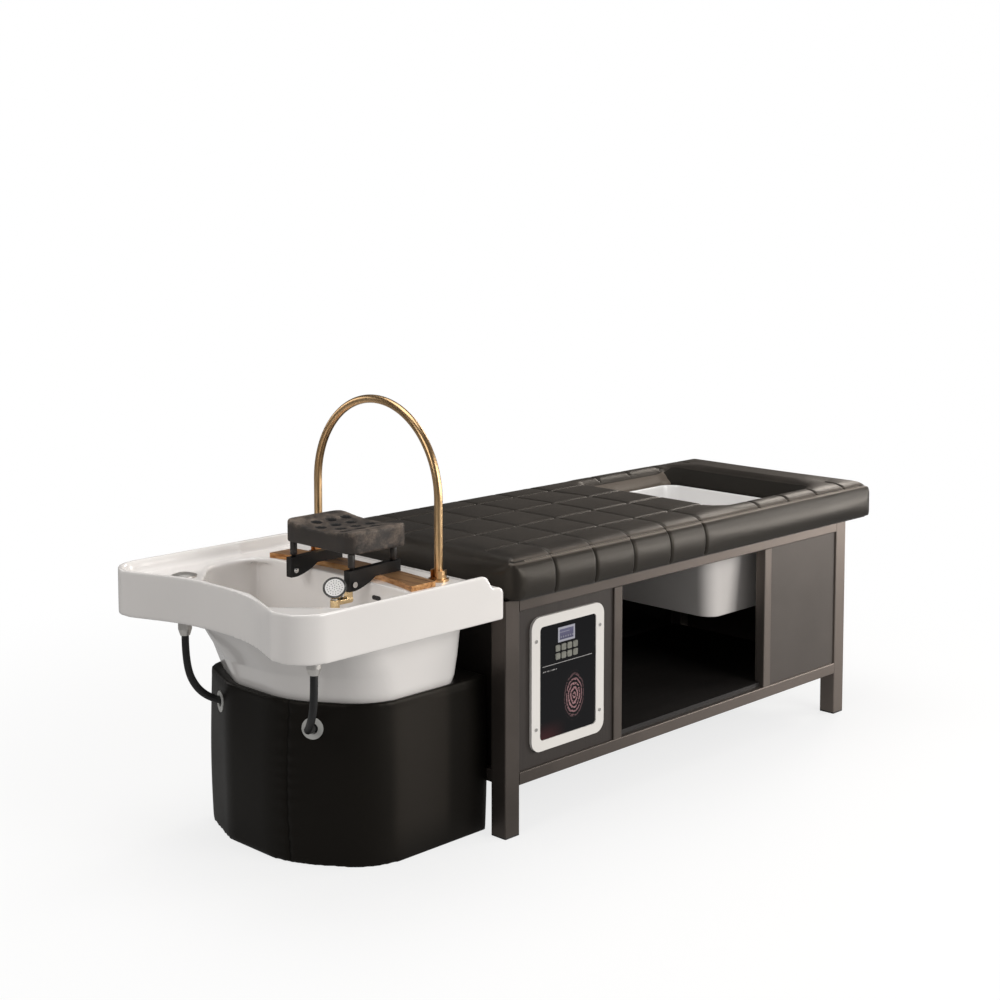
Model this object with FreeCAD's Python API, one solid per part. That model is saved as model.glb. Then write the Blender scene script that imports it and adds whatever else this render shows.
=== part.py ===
import FreeCAD, Part
import math
import os

# Hair washing bed. Millimetres, +Z up. Origin on the floor, on the bed's
# centreline, halfway along the whole length. -X is the wash basin end, +X the
# foot end, -Y the front with the control panel.

# Overall sizes
overall_length = 2076.0
bed_height = 650.0
clearance = 0.3
overrun = 20.0
tiny_gap = 0.001

# Steel frame
frame_width = 590.0
foot_overhang = 100.0
leg_size = 46.0
leg_wall = 2.0
leg_edge_radius = 3.0
rail_size = 30.0
rail_wall = 1.8
rail_edge_radius = 2.5
lower_rail_bottom = 115.0
control_bay_length = 325.0
open_bay_share = 0.656
cap_thickness = 4.0
cap_plug_depth = 14.0
tub_rail_gap = 10.0

# Cover panels and boards
panel_thickness = 8.0
front_panel_setback = 5.0
back_panel_setback = 3.0
end_panel_thickness = 8.0
shelf_thickness = 12.0
shelf_setback = 4.0
board_thickness = 12.0
board_inset = 12.0

# Mattress
mattress_width = 650.0
mattress_thickness = 103.0
mattress_hem_gap = 2.0
mattress_edge_radius = 52.0
mattress_crown = 5.0
mattress_crown_radius = 1500.0
mattress_side_bulge = 5.0
mattress_side_radius = 90.0
mattress_bulge_share = 0.22
mattress_hem_radius = 6.0
mattress_corner_radius = 42.0
mattress_head_radius = 40.0
seam_width = 5.0
seam_depth = 4.0
quilt_seams_long = 5
quilt_pitch_cross = 138.0
quilt_seams_cross = 4
rim_seam_pitch = 131.0
rim_seam_count = 4
rim_seam_from_opening = 112.0
rim_seam_drop = 34.0

# Foot basin opening and tub
opening_from_foot = 235.0
opening_length = 395.0
opening_width = 450.0
opening_corner_radius = 45.0
opening_edge_round = 42.0
opening_edge_share = 0.18
round_step_shares = (0.0, 0.5, 0.8, 0.95, 1.0)
tub_rim_drop = 52.0
tub_depth = 268.0
tub_wall = 5.0
tub_floor = 6.0
tub_head_taper = 52.0
tub_foot_taper = 38.0
tub_side_taper = 30.0
tub_flange_width = 22.0
tub_flange_thickness = 4.0
tub_outlet_radius = 24.0
tub_outlet_length = 45.0
tub_outlet_bore = 19.0
tub_outlet_from_head = 220.0
plug_head_radius = 25.0
plug_head_thickness = 5.0
plug_stem_length = 22.0
plug_stem_clearance = 0.4
plug_knob_radius = 7.0
plug_knob_height = 10.0

# Control panel
bezel_width = 248.0
bezel_top_gap = 24.0
bezel_from_leg = 37.0
bezel_bottom = 178.0
bezel_thickness = 7.0
bezel_corner_radius = 28.0
bezel_border = 28.0
bezel_glass_radius = 10.0
glass_thickness = 4.0
glass_setback = 2.5
screw_inset = 15.0
screw_height_inset = 54.0
screw_head_radius = 4.0
screw_head_height = 1.5
screw_shank_radius = 1.9
display_width = 58.0
display_height = 35.0
display_left_offset = 62.0
display_top_offset = 12.0
display_proud = 0.6
key_columns = 4
key_rows = 2
key_width = 16.0
key_height = 15.0
key_pitch_x = 20.0
key_pitch_z = 19.0
key_top_offset = 52.0
key_left_offset = 53.0
key_corner_radius = 3.5
key_proud = 1.6
key_skirt = 1.5
key_skirt_depth = 1.5
key_clearance = 0.35
control_box_wall = 2.5
control_box_depth = 70.0
control_box_margin = 12.0
card_thickness = 1.6

# Water equipment inside the frame
tank_length = 250.0
tank_width = 210.0
tank_top_gap = 58.0
tank_edge_radius = 18.0
tank_from_head = 62.0
tank_wall = 3.0
pump_body_radius = 48.0
pump_body_length = 120.0
pump_head_radius = 56.0
pump_head_length = 46.0
pump_foot_height = 12.0
pump_foot_width = 90.0
pump_from_head = 127.0
pump_outlet_radius = 10.0
pump_outlet_height = 46.0

# Wash basin
basin_length = 571.0
basin_width = 686.0
basin_rim_drop = 22.0
basin_apron_height = 103.0
basin_gap_to_bed = 50.0
basin_wall = 12.0
basin_lip_width = 13.0
basin_deck_drop = 28.0
horn_radius = 75.0
horn_taper = 21.0
horn_inner_half_width = 103.0
far_edge_radius = 420.0
basin_bed_corner_radius = 10.0
step_length = 56.0
step_drop = 30.0
step_flat = 14.0
step_round = 22.0
step_crest_radius = 18.0
step_hollow_radius = 14.0
bowl_opening_half_width = 283.0
bowl_opening_far_inset = 80.0
bowl_deck_length = 190.0
bowl_right_inset = 8.0
sump_offset = 48.0
# Sections of the bowl from the deck down: drop below the rim, reach to each side, the
# length and width of the facet at each far corner, and the corner radii
bowl_drops = (40.0, 103.0, 157.0, 208.0, 253.0, 283.0, 298.0)
bowl_far_insets = (62.0, 93.0, 133.0, 172.0, 196.0, 212.0, 250.0)
bowl_near_insets = (0.0, 0.0, 2.0, 5.0, 9.0, 16.0, 45.0)
bowl_front_reaches = (300.0, 243.0, 227.0, 219.0, 212.0, 202.0, 172.0)
bowl_back_reaches = (300.0, 300.0, 299.0, 296.0, 290.0, 280.0, 250.0)
bowl_front_facets = ((163.0, 180.0), (150.0, 185.0), (135.0, 182.0), (122.0, 176.0),
                     (112.0, 168.0), (105.0, 160.0), (90.0, 140.0))
bowl_back_facets = ((163.0, 180.0), (130.0, 175.0), (95.0, 168.0), (78.0, 160.0),
                    (68.0, 150.0), (60.0, 140.0), (50.0, 120.0))
bowl_near_radii = (70.0, 62.0, 56.0, 50.0, 48.0, 45.0, 40.0)
bowl_end_radii = ((70.0, 70.0), (110.0, 85.0), (150.0, 95.0), (180.0, 105.0),
                  (195.0, 110.0), (185.0, 105.0), (150.0, 90.0))
bowl_side_radii = ((70.0, 70.0), (90.0, 68.0), (115.0, 62.0), (130.0, 60.0),
                   (138.0, 60.0), (130.0, 56.0), (100.0, 45.0))
underside_inset = 25.0
underside_half_width = 110.0
overflow_width = 24.0
overflow_height = 6.0
overflow_drop = 62.0
overflow_offset = 136.0
waste_radius = 36.0
waste_flange_thickness = 4.0
waste_bore = 26.0
waste_neck_radius = 31.0
waste_neck_length = 20.0
waste_length = 90.0
waste_pipe_radius = 29.0
waste_from_bed = 258.0
strainer_radius = 25.2
strainer_rim_radius = 33.0
strainer_rim_thickness = 2.5
strainer_depth = 14.0
strainer_wall = 2.0
strainer_hole_radius = 3.0
strainer_hole_ring = 15.0
strainer_hole_count = 8

# Skirt that stands under the basin
skirt_drop = 266.0
skirt_wall = 14.0
skirt_offset = 46.0
skirt_half_width = 264.0
skirt_far_inset = 188.0
skirt_front_facet = (118.0, 175.0)
skirt_back_facet = (60.0, 160.0)
skirt_front_side_radius = 150.0
skirt_front_end_radius = 220.0
skirt_back_side_radius = 70.0
skirt_back_end_radius = 120.0
skirt_edge_radius = 3.0
skirt_top_thickness = 14.0
grommet_drop = 57.0
grommet_facet_shares = (0.669, 0.702)
grommet_outer_radius = 24.0
grommet_neck_radius = 17.0
grommet_flange = 4.0
grommet_bore_clearance = 4.0

# Deck fittings and hoses
fitting_from_far = 130.0
fitting_offset = 226.0
cap_radius = 28.0
cap_height = 7.0
cap_crown_radius = 16.0
blind_deck_thickness = 5.0
tail_radius = 10.0
tail_length = 105.0
nut_radius = 15.5
nut_length = 30.0
nut_cone_radius = 11.0
nut_cone_length = 14.0
hose_radius = 8.5
hose_bend_share = 0.45
# Bends of each hose, measured from the mouth of its nut
front_hose_bends = ((0.0, 0.0, 0.0), (0.0, 0.0, -66.0), (17.0, 36.0, -122.0),
                    (58.0, 98.0, -156.0), (117.0, 138.4, -165.0))
back_hose_bends = ((0.0, 0.0, 0.0), (0.0, 0.0, -66.0), (21.0, -6.6, -124.0),
                   (62.0, -22.5, -158.0), (102.1, -38.1, -167.0))

# Arch fountain
arch_from_bed = 121.0
arch_half_span = 207.0
arch_leg_length = 166.0
arch_tube_radius = 9.5
arch_tube_bore = 8.2
arch_hub_height = 12.0
arch_foot_radius = 18.0
arch_foot_height = 24.0
arch_foot_flange_radius = 23.0
arch_foot_flange_height = 5.0
arch_slot_clearance = 0.6
arch_pin_radius = 4.0
arch_pin_clearance = 0.06

# Waterfall bar
bar_from_bed = 166.0
bar_width = 71.0
bar_half_length = 245.0
bar_thickness = 12.0
bar_bow = 34.0
bar_back_bow = 18.0

# Headrest
headrest_from_bed = 128.0
pad_length = 168.0
pad_width = 240.0
pad_rise = 40.0
pad_thickness = 50.0
pad_dip = 11.0
pad_edge_round = 6.0
pad_corner_radius = 26.0
pad_hole_radius = 8.0
pad_hole_pitch_x = 43.0
pad_hole_pitch_y = 42.0
pad_hole_columns = 3
pad_hole_rows = 4
arm_half_spacing = 100.0
arm_offset = -6.0
arm_thickness = 18.0
arm_length = 150.0
arm_end_from_bed = 150.0
arm_rise_low = 5.0
arm_rise_high = 10.0
arm_tip_drop = 40.0
arm_tip_flat = 16.0
arm_slope_length = 60.0
arm_belly = 4.0
post_radius = 5.0
post_inset = 14.0
post_socket_depth = 20.0
post_clearance = 0.15
post_pad_depth = 18.0
bolt_head_radius = 6.5
bolt_head_height = 5.0
bolt_shank_radius = 3.0
bolt_shank_length = 10.0
bolt_from_tip = 13.0
bolt_drop = 25.0

# Hand shower
shower_from_arm_tip = 30.0
shower_side_offset = 4.0
shower_head_radius = 26.0
shower_head_thickness = 15.0
shower_face_radius = 21.0
shower_tilt = 42.0
shower_turn = 225.0
shower_head_drop = 30.0
shower_neck_radius = 7.0
shower_neck_depth = 14.0
socket_radius = 10.5
socket_height = 24.0
socket_drop = 53.0
socket_clearance = 0.2
bridge_radius = 8.0
bridge_drop = 19.0
saddle_length = 16.0
saddle_width = 12.0

# Main places, worked out from the sizes above
half_length = overall_length / 2
foot_x = half_length
far_x = -half_length
basin_bed_x = far_x + basin_length
head_x = basin_bed_x + basin_gap_to_bed
frame_head_x = head_x
frame_foot_x = foot_x - foot_overhang
frame_length = frame_foot_x - frame_head_x
half_frame = frame_width / 2
mattress_bottom = bed_height - mattress_thickness
frame_top = mattress_bottom - mattress_hem_gap
board_top = frame_top + board_thickness
lower_rail_top = lower_rail_bottom + rail_size
upper_rail_bottom = frame_top - rail_size
open_bay_length = open_bay_share * (frame_length - leg_size * 2 - rail_size * 2
                                    - control_bay_length)
post_left_x = frame_head_x + leg_size + control_bay_length
post_right_x = post_left_x + rail_size + open_bay_length
opening_x1 = foot_x - opening_from_foot
opening_x0 = opening_x1 - opening_length
quilt_pitch_long = (opening_x0 - head_x) / (quilt_seams_long + 1)
tub_top = bed_height - tub_rim_drop
tub_bottom = tub_top - tub_depth
basin_rim_top = bed_height - basin_rim_drop
basin_bottom_z = basin_rim_top - basin_apron_height
deck_z = basin_rim_top - basin_deck_drop
deck_bottom_z = deck_z - basin_wall
deck_edge_x = basin_bed_x - bowl_deck_length
bowl_levels = [basin_rim_top - drop for drop in bowl_drops]
skirt_height = basin_rim_top - skirt_drop
pad_bottom = basin_rim_top + pad_rise
arm_top_low = basin_rim_top + arm_rise_low
arm_top_high = basin_rim_top + arm_rise_high
arm_tip_bottom = basin_rim_top - arm_tip_drop
shower_head_height = basin_rim_top - shower_head_drop
socket_top = basin_rim_top - socket_drop


def vec(x, y, z):
    return FreeCAD.Vector(x, y, z)


def block(x0, x1, y0, y1, z0, z1):
    """A box between two corners."""
    return Part.makeBox(x1 - x0, y1 - y0, z1 - z0, vec(x0, y0, z0))


def rod(radius, length, base, direction):
    """A plain cylinder from a base point along a direction."""
    return Part.makeCylinder(radius, length, base, direction)


def outline(corners, place):
    """Closed wire through rounded corners (u, v, radius); place maps u, v to space."""
    count = len(corners)
    edges = []
    starts = []
    ends = []
    middles = []
    for i in range(count):
        u, v, radius = corners[i]
        before = corners[i - 1]
        after = corners[(i + 1) % count]
        ax, ay = before[0] - u, before[1] - v
        bx, by = after[0] - u, after[1] - v
        a_len = math.hypot(ax, ay)
        b_len = math.hypot(bx, by)
        ax, ay, bx, by = ax / a_len, ay / a_len, bx / b_len, by / b_len
        if radius == 0:
            starts.append((u, v))
            ends.append((u, v))
            middles.append(None)
            continue
        opening = math.acos(max(-1.0, min(1.0, ax * bx + ay * by)))
        reach = radius / math.tan(opening / 2)
        starts.append((u + ax * reach, v + ay * reach))
        ends.append((u + bx * reach, v + by * reach))
        mx, my = ax + bx, ay + by
        m_len = math.hypot(mx, my)
        depth = radius / math.sin(opening / 2) - radius
        middles.append((u + mx / m_len * depth, v + my / m_len * depth))
    for i in range(count):
        if middles[i] is not None:
            arc = Part.Arc(place(*starts[i]), place(*middles[i]), place(*ends[i]))
            edges.append(arc.toShape())
        line_from = place(*ends[i])
        line_to = place(*starts[(i + 1) % count])
        if line_from.distanceToPoint(line_to) > tiny_gap:
            edges.append(Part.LineSegment(line_from, line_to).toShape())
    return Part.Wire(edges)


def flat_at(z):
    """Places plan points at height z."""
    return lambda u, v: vec(u, v, z)


def prism(corners, z0, z1):
    """Upright solid with a rounded plan."""
    face = Part.Face(outline(corners, flat_at(z0)))
    return face.extrude(vec(0, 0, z1 - z0))


def rectangle(x0, x1, y0, y1, radius):
    """Corners of a rounded rectangle in plan."""
    return [(x0, y0, radius), (x1, y0, radius), (x1, y1, radius), (x0, y1, radius)]


def rounded_block(x0, x1, y0, y1, z0, z1, radius, axis):
    """Box whose four long edges along the axis are rounded."""
    if axis == "z":
        return prism(rectangle(x0, x1, y0, y1, radius), z0, z1)
    if axis == "x":
        face = Part.Face(outline(rectangle(y0, y1, z0, z1, radius), lambda u, v: vec(x0, u, v)))
        return face.extrude(vec(x1 - x0, 0, 0))
    face = Part.Face(outline(rectangle(x0, x1, z0, z1, radius), lambda u, v: vec(u, y0, v)))
    return face.extrude(vec(0, y1 - y0, 0))


def square_tube(x0, x1, y0, y1, z0, z1, wall, radius, axis):
    """Square steel tube, open at both ends."""
    outer = rounded_block(x0, x1, y0, y1, z0, z1, radius, axis)
    dx = 0 if axis == "x" else wall
    dy = 0 if axis == "y" else wall
    dz = 0 if axis == "z" else wall
    long_x = overrun if axis == "x" else 0
    long_y = overrun if axis == "y" else 0
    long_z = overrun if axis == "z" else 0
    inner = block(x0 + dx - long_x, x1 - dx + long_x, y0 + dy - long_y, y1 - dy + long_y,
                  z0 + dz - long_z, z1 - dz + long_z)
    return outer.cut(inner)


def save(name, shape):
    """Writes one node."""
    shape.exportStep(os.path.join("parts", name + ".step"))
    print(name, len(shape.Solids), round(shape.Volume), shape.isValid())


# Frame

def legs():
    x_places = {"head": frame_head_x, "foot": frame_foot_x - leg_size}
    y_places = {"front": -half_frame, "back": half_frame - leg_size}
    caps = []
    for end, x0 in x_places.items():
        for side, y0 in y_places.items():
            leg = square_tube(x0, x0 + leg_size, y0, y0 + leg_size, cap_thickness, frame_top,
                              leg_wall, leg_edge_radius, "z")
            save("leg_" + side + "_" + end, leg)
            sole = rounded_block(x0, x0 + leg_size, y0, y0 + leg_size, 0, cap_thickness,
                                 leg_edge_radius, "z")
            inset = leg_wall + clearance
            plug = block(x0 + inset, x0 + leg_size - inset, y0 + inset, y0 + leg_size - inset,
                         0, cap_thickness + cap_plug_depth)
            caps.append(sole.fuse(plug).removeSplitter())
    save("leg_foot_caps", Part.makeCompound(caps))


def rails():
    x0 = frame_head_x + leg_size
    x1 = frame_foot_x - leg_size
    heights = {"upper": upper_rail_bottom, "lower": lower_rail_bottom}
    sides = {"front": -half_frame, "back": half_frame - rail_size}
    for level, z0 in heights.items():
        for side, y0 in sides.items():
            rail = square_tube(x0, x1, y0, y0 + rail_size, z0, z0 + rail_size,
                               rail_wall, rail_edge_radius, "x")
            save("rail_" + side + "_" + level, rail)
    ends = {"head": frame_head_x + leg_size - rail_size, "foot": frame_foot_x - leg_size}
    y0 = -half_frame + leg_size
    for level, z0 in heights.items():
        for end, x_low in ends.items():
            rail = square_tube(x_low, x_low + rail_size, y0, -y0, z0, z0 + rail_size,
                               rail_wall, rail_edge_radius, "y")
            save("rail_" + end + "_end_" + level, rail)
    for name, x_low in {"post_left": post_left_x, "post_right": post_right_x}.items():
        post = square_tube(x_low, x_low + rail_size, -half_frame, -half_frame + rail_size,
                           lower_rail_top, upper_rail_bottom, rail_wall, rail_edge_radius, "z")
        save(name, post)
    y0 = -half_frame + rail_size
    bearers = (opening_x0 - tub_rail_gap - rail_size, opening_x1 + tub_rail_gap)
    save("tub_rails", Part.makeCompound([
        square_tube(x_low, x_low + rail_size, y0, -y0, upper_rail_bottom, frame_top,
                    rail_wall, rail_edge_radius, "y") for x_low in bearers]))


# Covers

bezel_x0 = frame_head_x + leg_size + bezel_from_leg
bezel_x1 = bezel_x0 + bezel_width
bezel_z1 = upper_rail_bottom - bezel_top_gap
panel_front_y = -half_frame + front_panel_setback
glass_x0 = bezel_x0 + bezel_border
glass_x1 = bezel_x1 - bezel_border
glass_z0 = bezel_bottom + bezel_border - panel_thickness / 2
glass_z1 = bezel_z1 - bezel_border + panel_thickness / 2
bezel_y = panel_front_y - bezel_thickness
screw_places = [vec(x, bezel_y, z) for x in (bezel_x0 + screw_inset, bezel_x1 - screw_inset)
                for z in (bezel_bottom + screw_height_inset, bezel_z1 - screw_height_inset)]


def screw_shank(place):
    return rod(screw_shank_radius, bezel_thickness + panel_thickness, place, vec(0, 1, 0))


def covers():
    y0 = panel_front_y
    left = block(frame_head_x + leg_size, post_left_x, y0, y0 + panel_thickness,
                 lower_rail_top, upper_rail_bottom)
    window = block(glass_x0, glass_x1, y0 - overrun, y0 + panel_thickness + overrun,
                   glass_z0, glass_z1)
    left = left.cut(window)
    for place in screw_places:
        left = left.cut(screw_shank(place))
    save("cover_front_left", left)
    right = block(post_right_x + rail_size, frame_foot_x - leg_size, y0, y0 + panel_thickness,
                  lower_rail_top, upper_rail_bottom)
    save("cover_front_right", right)
    back_y = half_frame - back_panel_setback
    back = block(frame_head_x + leg_size, frame_foot_x - leg_size, back_y - panel_thickness,
                 back_y, lower_rail_top, upper_rail_bottom)
    save("cover_back", back)
    ends = {"head": frame_head_x + leg_size, "foot": frame_foot_x}
    for name, face_x in ends.items():
        end_x = face_x - back_panel_setback
        save("cover_" + name + "_end",
             block(end_x - end_panel_thickness, end_x, -half_frame + leg_size,
                   half_frame - leg_size, lower_rail_top, upper_rail_bottom))
    shelf = block(frame_head_x + leg_size, frame_foot_x - leg_size, -half_frame + rail_size
                  + shelf_setback, half_frame - rail_size, lower_rail_top,
                  lower_rail_top + shelf_thickness)
    tongue = block(frame_head_x + leg_size, frame_foot_x - leg_size, -half_frame
                   + front_panel_setback + panel_thickness, -half_frame + rail_size
                   + shelf_setback, lower_rail_top, lower_rail_top + shelf_thickness)
    shelf = shelf.fuse(tongue).removeSplitter()
    for x_low in (post_left_x, post_right_x):
        shelf = shelf.cut(block(x_low - clearance, x_low + rail_size + clearance,
                                -half_frame, -half_frame + rail_size + clearance,
                                lower_rail_top - overrun, lower_rail_top + overrun))
    save("shelf_board", shelf)


# Bed board and mattress

def opening_plan(x_head, x_foot, side, radius):
    return rectangle(opening_x0 - x_head, opening_x1 + x_foot,
                     -opening_width / 2 - side, opening_width / 2 + side, radius)


def bed_board():
    half = mattress_width / 2 - board_inset
    plan = rectangle(head_x + board_inset, foot_x - board_inset, -half, half,
                     mattress_corner_radius - board_inset)
    board = prism(plan, frame_top, board_top)
    hole = prism(opening_plan(clearance, clearance, clearance, opening_corner_radius),
                 frame_top - overrun, board_top + overrun)
    save("bed_board", board.cut(hole))


def mattress_profile(half, low, high, head_radius, inset):
    """Corners of the cushion's section, drawn in at the hem and crowned on top."""
    half = half - inset
    high = high - inset
    middle = low + (high - low) * mattress_bulge_share
    shoulder = high - mattress_crown
    hem = half - mattress_side_bulge
    return [(-hem, low, mattress_hem_radius), (hem, low, mattress_hem_radius),
            (half, middle, mattress_side_radius), (half, shoulder, mattress_edge_radius - inset),
            (0, high, mattress_crown_radius), (-half, shoulder, head_radius - inset),
            (-half, middle, mattress_side_radius)]


def cross_band(x0, x1, inset):
    """Slice of the cushion's cross section between two places along the bed."""
    corners = mattress_profile(mattress_width / 2, mattress_bottom, bed_height,
                               mattress_edge_radius, inset)
    face = Part.Face(outline(corners, lambda u, v: vec(x0, u, v)))
    return face.extrude(vec(x1 - x0, 0, 0))


def long_band(y0, y1, inset):
    """Slice of the cushion's long section between two places across the bed."""
    middle = (head_x + foot_x) / 2
    corners = mattress_profile((foot_x - head_x) / 2, mattress_bottom, bed_height,
                               mattress_head_radius, inset)
    face = Part.Face(outline(corners, lambda u, v: vec(middle + u, y0, v)))
    return face.extrude(vec(0, y1 - y0, 0))


def mattress():
    half = mattress_width / 2
    body = cross_band(head_x - overrun, foot_x + overrun, 0)
    body = body.common(long_band(-half - overrun, half + overrun, 0))
    plan = rectangle(head_x, foot_x, -half, half, mattress_corner_radius)
    body = body.common(prism(plan, mattress_bottom - overrun, bed_height + overrun))
    half_seam = seam_width / 2
    for i in range(quilt_seams_long):
        x = head_x + quilt_pitch_long * (i + 1)
        outer = cross_band(x - half_seam, x + half_seam, -overrun)
        ring = outer.cut(cross_band(x - half_seam, x + half_seam, seam_depth))
        keep = block(x - overrun, x + overrun, -half - overrun, half + overrun,
                     mattress_bottom + seam_depth, bed_height + overrun)
        body = body.cut(ring.common(keep))
    for i in range(rim_seam_count):
        x = opening_x0 + rim_seam_from_opening + rim_seam_pitch * i
        outer = cross_band(x - half_seam, x + half_seam, -overrun)
        ring = outer.cut(cross_band(x - half_seam, x + half_seam, seam_depth))
        keep = block(x - overrun, x + overrun, -half - overrun, half + overrun,
                     bed_height - rim_seam_drop, bed_height + overrun)
        body = body.cut(ring.common(keep))
    for i in range(quilt_seams_cross):
        y = quilt_pitch_cross * (i - (quilt_seams_cross - 1) / 2)
        groove = block(head_x + mattress_head_radius, opening_x0, y - half_seam, y + half_seam,
                       bed_height - mattress_crown - seam_depth, bed_height + overrun)
        body = body.cut(groove)
    round_base = bed_height - opening_edge_round
    sections = []
    for share in round_step_shares:
        spread = opening_edge_round * (1 - math.sqrt(1 - share * share))
        plan = opening_plan(spread * opening_edge_share, spread, spread,
                            opening_corner_radius + spread * opening_edge_share)
        sections.append(outline(plan, flat_at(round_base + opening_edge_round * share)))
    body = body.cut(Part.makeLoft(sections, True, True))
    top_plan = opening_plan(opening_edge_round * opening_edge_share, opening_edge_round,
                            opening_edge_round,
                            opening_corner_radius + opening_edge_round * opening_edge_share)
    body = body.cut(prism(top_plan, bed_height, bed_height + overrun))
    body = body.cut(prism(opening_plan(0, 0, 0, opening_corner_radius),
                          mattress_bottom - overrun, round_base))
    half_board = half - board_inset + clearance
    recess = prism(rectangle(head_x + board_inset - clearance, foot_x - board_inset + clearance,
                             -half_board, half_board, mattress_corner_radius - board_inset),
                   mattress_bottom - overrun, board_top + clearance)
    body = body.cut(recess)
    flange = tub_flange_width + clearance
    flange_top = board_top + tub_flange_thickness + clearance
    body = body.cut(prism(opening_plan(flange, flange, flange, opening_corner_radius),
                          board_top - overrun, flange_top))
    save("mattress", body)


# Foot basin

tub_outlet_x = opening_x0 + tub_outlet_from_head


def tub_plan(z, inset):
    """Plan of the tub at a height; the walls lean in towards the floor."""
    lean_share = (tub_top - z) / (tub_top - tub_bottom)
    gap = clearance + inset
    x0 = opening_x0 + gap + tub_head_taper * lean_share
    x1 = opening_x1 - gap - tub_foot_taper * lean_share
    half = opening_width / 2 - gap - tub_side_taper * lean_share
    return rectangle(x0, x1, -half, half, opening_corner_radius - inset)


def foot_basin():
    outer = Part.makeLoft([outline(tub_plan(tub_bottom, 0), flat_at(tub_bottom)),
                           outline(tub_plan(tub_top, 0), flat_at(tub_top))], True, True)
    floor_z = tub_bottom + tub_floor
    above = tub_top + overrun
    inner = Part.makeLoft([outline(tub_plan(floor_z, tub_wall), flat_at(floor_z)),
                           outline(tub_plan(above, tub_wall), flat_at(above))], True, True)
    flange = prism(opening_plan(tub_flange_width, tub_flange_width, tub_flange_width,
                                opening_corner_radius), board_top,
                   board_top + tub_flange_thickness)
    outlet = rod(tub_outlet_radius, tub_outlet_length, vec(tub_outlet_x, 0, tub_bottom),
                 vec(0, 0, -1))
    bore = rod(tub_outlet_bore, tub_outlet_length + overrun + overrun,
               vec(tub_outlet_x, 0, tub_bottom + tub_floor + overrun), vec(0, 0, -1))
    tub = outer.fuse([flange, outlet]).cut(inner).cut(bore).removeSplitter()
    save("foot_basin", tub)
    seat = tub_bottom + tub_floor
    head = rod(plug_head_radius, plug_head_thickness, vec(tub_outlet_x, 0, seat), vec(0, 0, 1))
    stem = rod(tub_outlet_bore - plug_stem_clearance, plug_stem_length,
               vec(tub_outlet_x, 0, seat), vec(0, 0, -1))
    knob = rod(plug_knob_radius, plug_knob_height,
               vec(tub_outlet_x, 0, seat + plug_head_thickness), vec(0, 0, 1))
    save("foot_basin_plug", head.fuse([stem, knob]).removeSplitter())


# Control panel

def wall_block(x0, x1, z0, z1, radius, y0, y1):
    """Rounded plate that stands upright, facing the front."""
    face = Part.Face(outline(rectangle(x0, x1, z0, z1, radius), lambda u, v: vec(u, y0, v)))
    return face.extrude(vec(0, y1 - y0, 0))


glass_y0 = bezel_y + glass_setback
glass_y1 = glass_y0 + glass_thickness
display_x0 = glass_x0 + display_left_offset
display_z1 = glass_z1 - display_top_offset
key_x0 = glass_x0 + key_left_offset
key_z1 = glass_z1 - key_top_offset


def key_box(column, row, grow):
    x0 = key_x0 + column * key_pitch_x - grow
    z1 = key_z1 - row * key_pitch_z + grow
    return x0, x0 + key_width + grow + grow, z1 - key_height - grow - grow, z1


def control_panel():
    bezel = wall_block(bezel_x0, bezel_x1, bezel_bottom, bezel_z1, bezel_corner_radius,
                       bezel_y, panel_front_y)
    window = wall_block(glass_x0, glass_x1, glass_z0, glass_z1, bezel_glass_radius,
                        bezel_y - overrun, panel_front_y + overrun)
    bezel = bezel.cut(window)
    glass = wall_block(glass_x0 + clearance, glass_x1 - clearance, glass_z0 + clearance,
                       glass_z1 - clearance, bezel_glass_radius, glass_y0, glass_y1)
    screws = []
    for place in screw_places:
        head = rod(screw_head_radius, screw_head_height, place, vec(0, -1, 0))
        shank = screw_shank(place)
        screws.append(head.fuse(shank).removeSplitter())
        bezel = bezel.cut(shank)
    save("panel_bezel", bezel)
    save("panel_screws", Part.makeCompound(screws))
    display_x1 = display_x0 + display_width
    display_z0 = display_z1 - display_height
    glass = glass.cut(block(display_x0, display_x1, glass_y0 - overrun, glass_y1 + overrun,
                            display_z0, display_z1))
    for row in range(key_rows):
        for column in range(key_columns):
            x0, x1, z0, z1 = key_box(column, row, key_clearance)
            glass = glass.cut(wall_block(x0, x1, z0, z1, key_corner_radius,
                                         glass_y0 - overrun, glass_y1 + overrun))
    save("panel_glass", glass)
    save("display", block(display_x0 + clearance, display_x1 - clearance,
                          glass_y0 - display_proud, panel_front_y + panel_thickness,
                          display_z0 + clearance, display_z1 - clearance))
    number = 0
    for row in range(key_rows):
        for column in range(key_columns):
            number += 1
            x0, x1, z0, z1 = key_box(column, row, 0)
            cap = wall_block(x0, x1, z0, z1, key_corner_radius, glass_y0 - key_proud,
                             glass_y1 + clearance)
            x0, x1, z0, z1 = key_box(column, row, key_skirt)
            base = wall_block(x0, x1, z0, z1, key_corner_radius, glass_y1 + clearance,
                              glass_y1 + clearance + key_skirt_depth)
            save("key_" + str(number), cap.fuse(base).removeSplitter())


def control_box():
    x0 = glass_x0 - control_box_margin
    x1 = glass_x1 + control_box_margin
    z0 = glass_z0 - control_box_margin
    z1 = glass_z1 + control_box_margin
    y0 = panel_front_y + panel_thickness
    box = block(x0, x1, y0, y0 + control_box_depth, z0, z1)
    wall = control_box_wall
    inside = block(x0 + wall, x1 - wall, y0 - overrun, y0 + control_box_depth - wall,
                   z0 + wall, z1 - wall)
    box = box.cut(inside)
    save("control_box", box)
    card = block(x0 + wall, x1 - wall, y0, y0 + card_thickness, z0 + wall, z1 - wall)
    save("circuit_board", card)


# Water equipment

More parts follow.
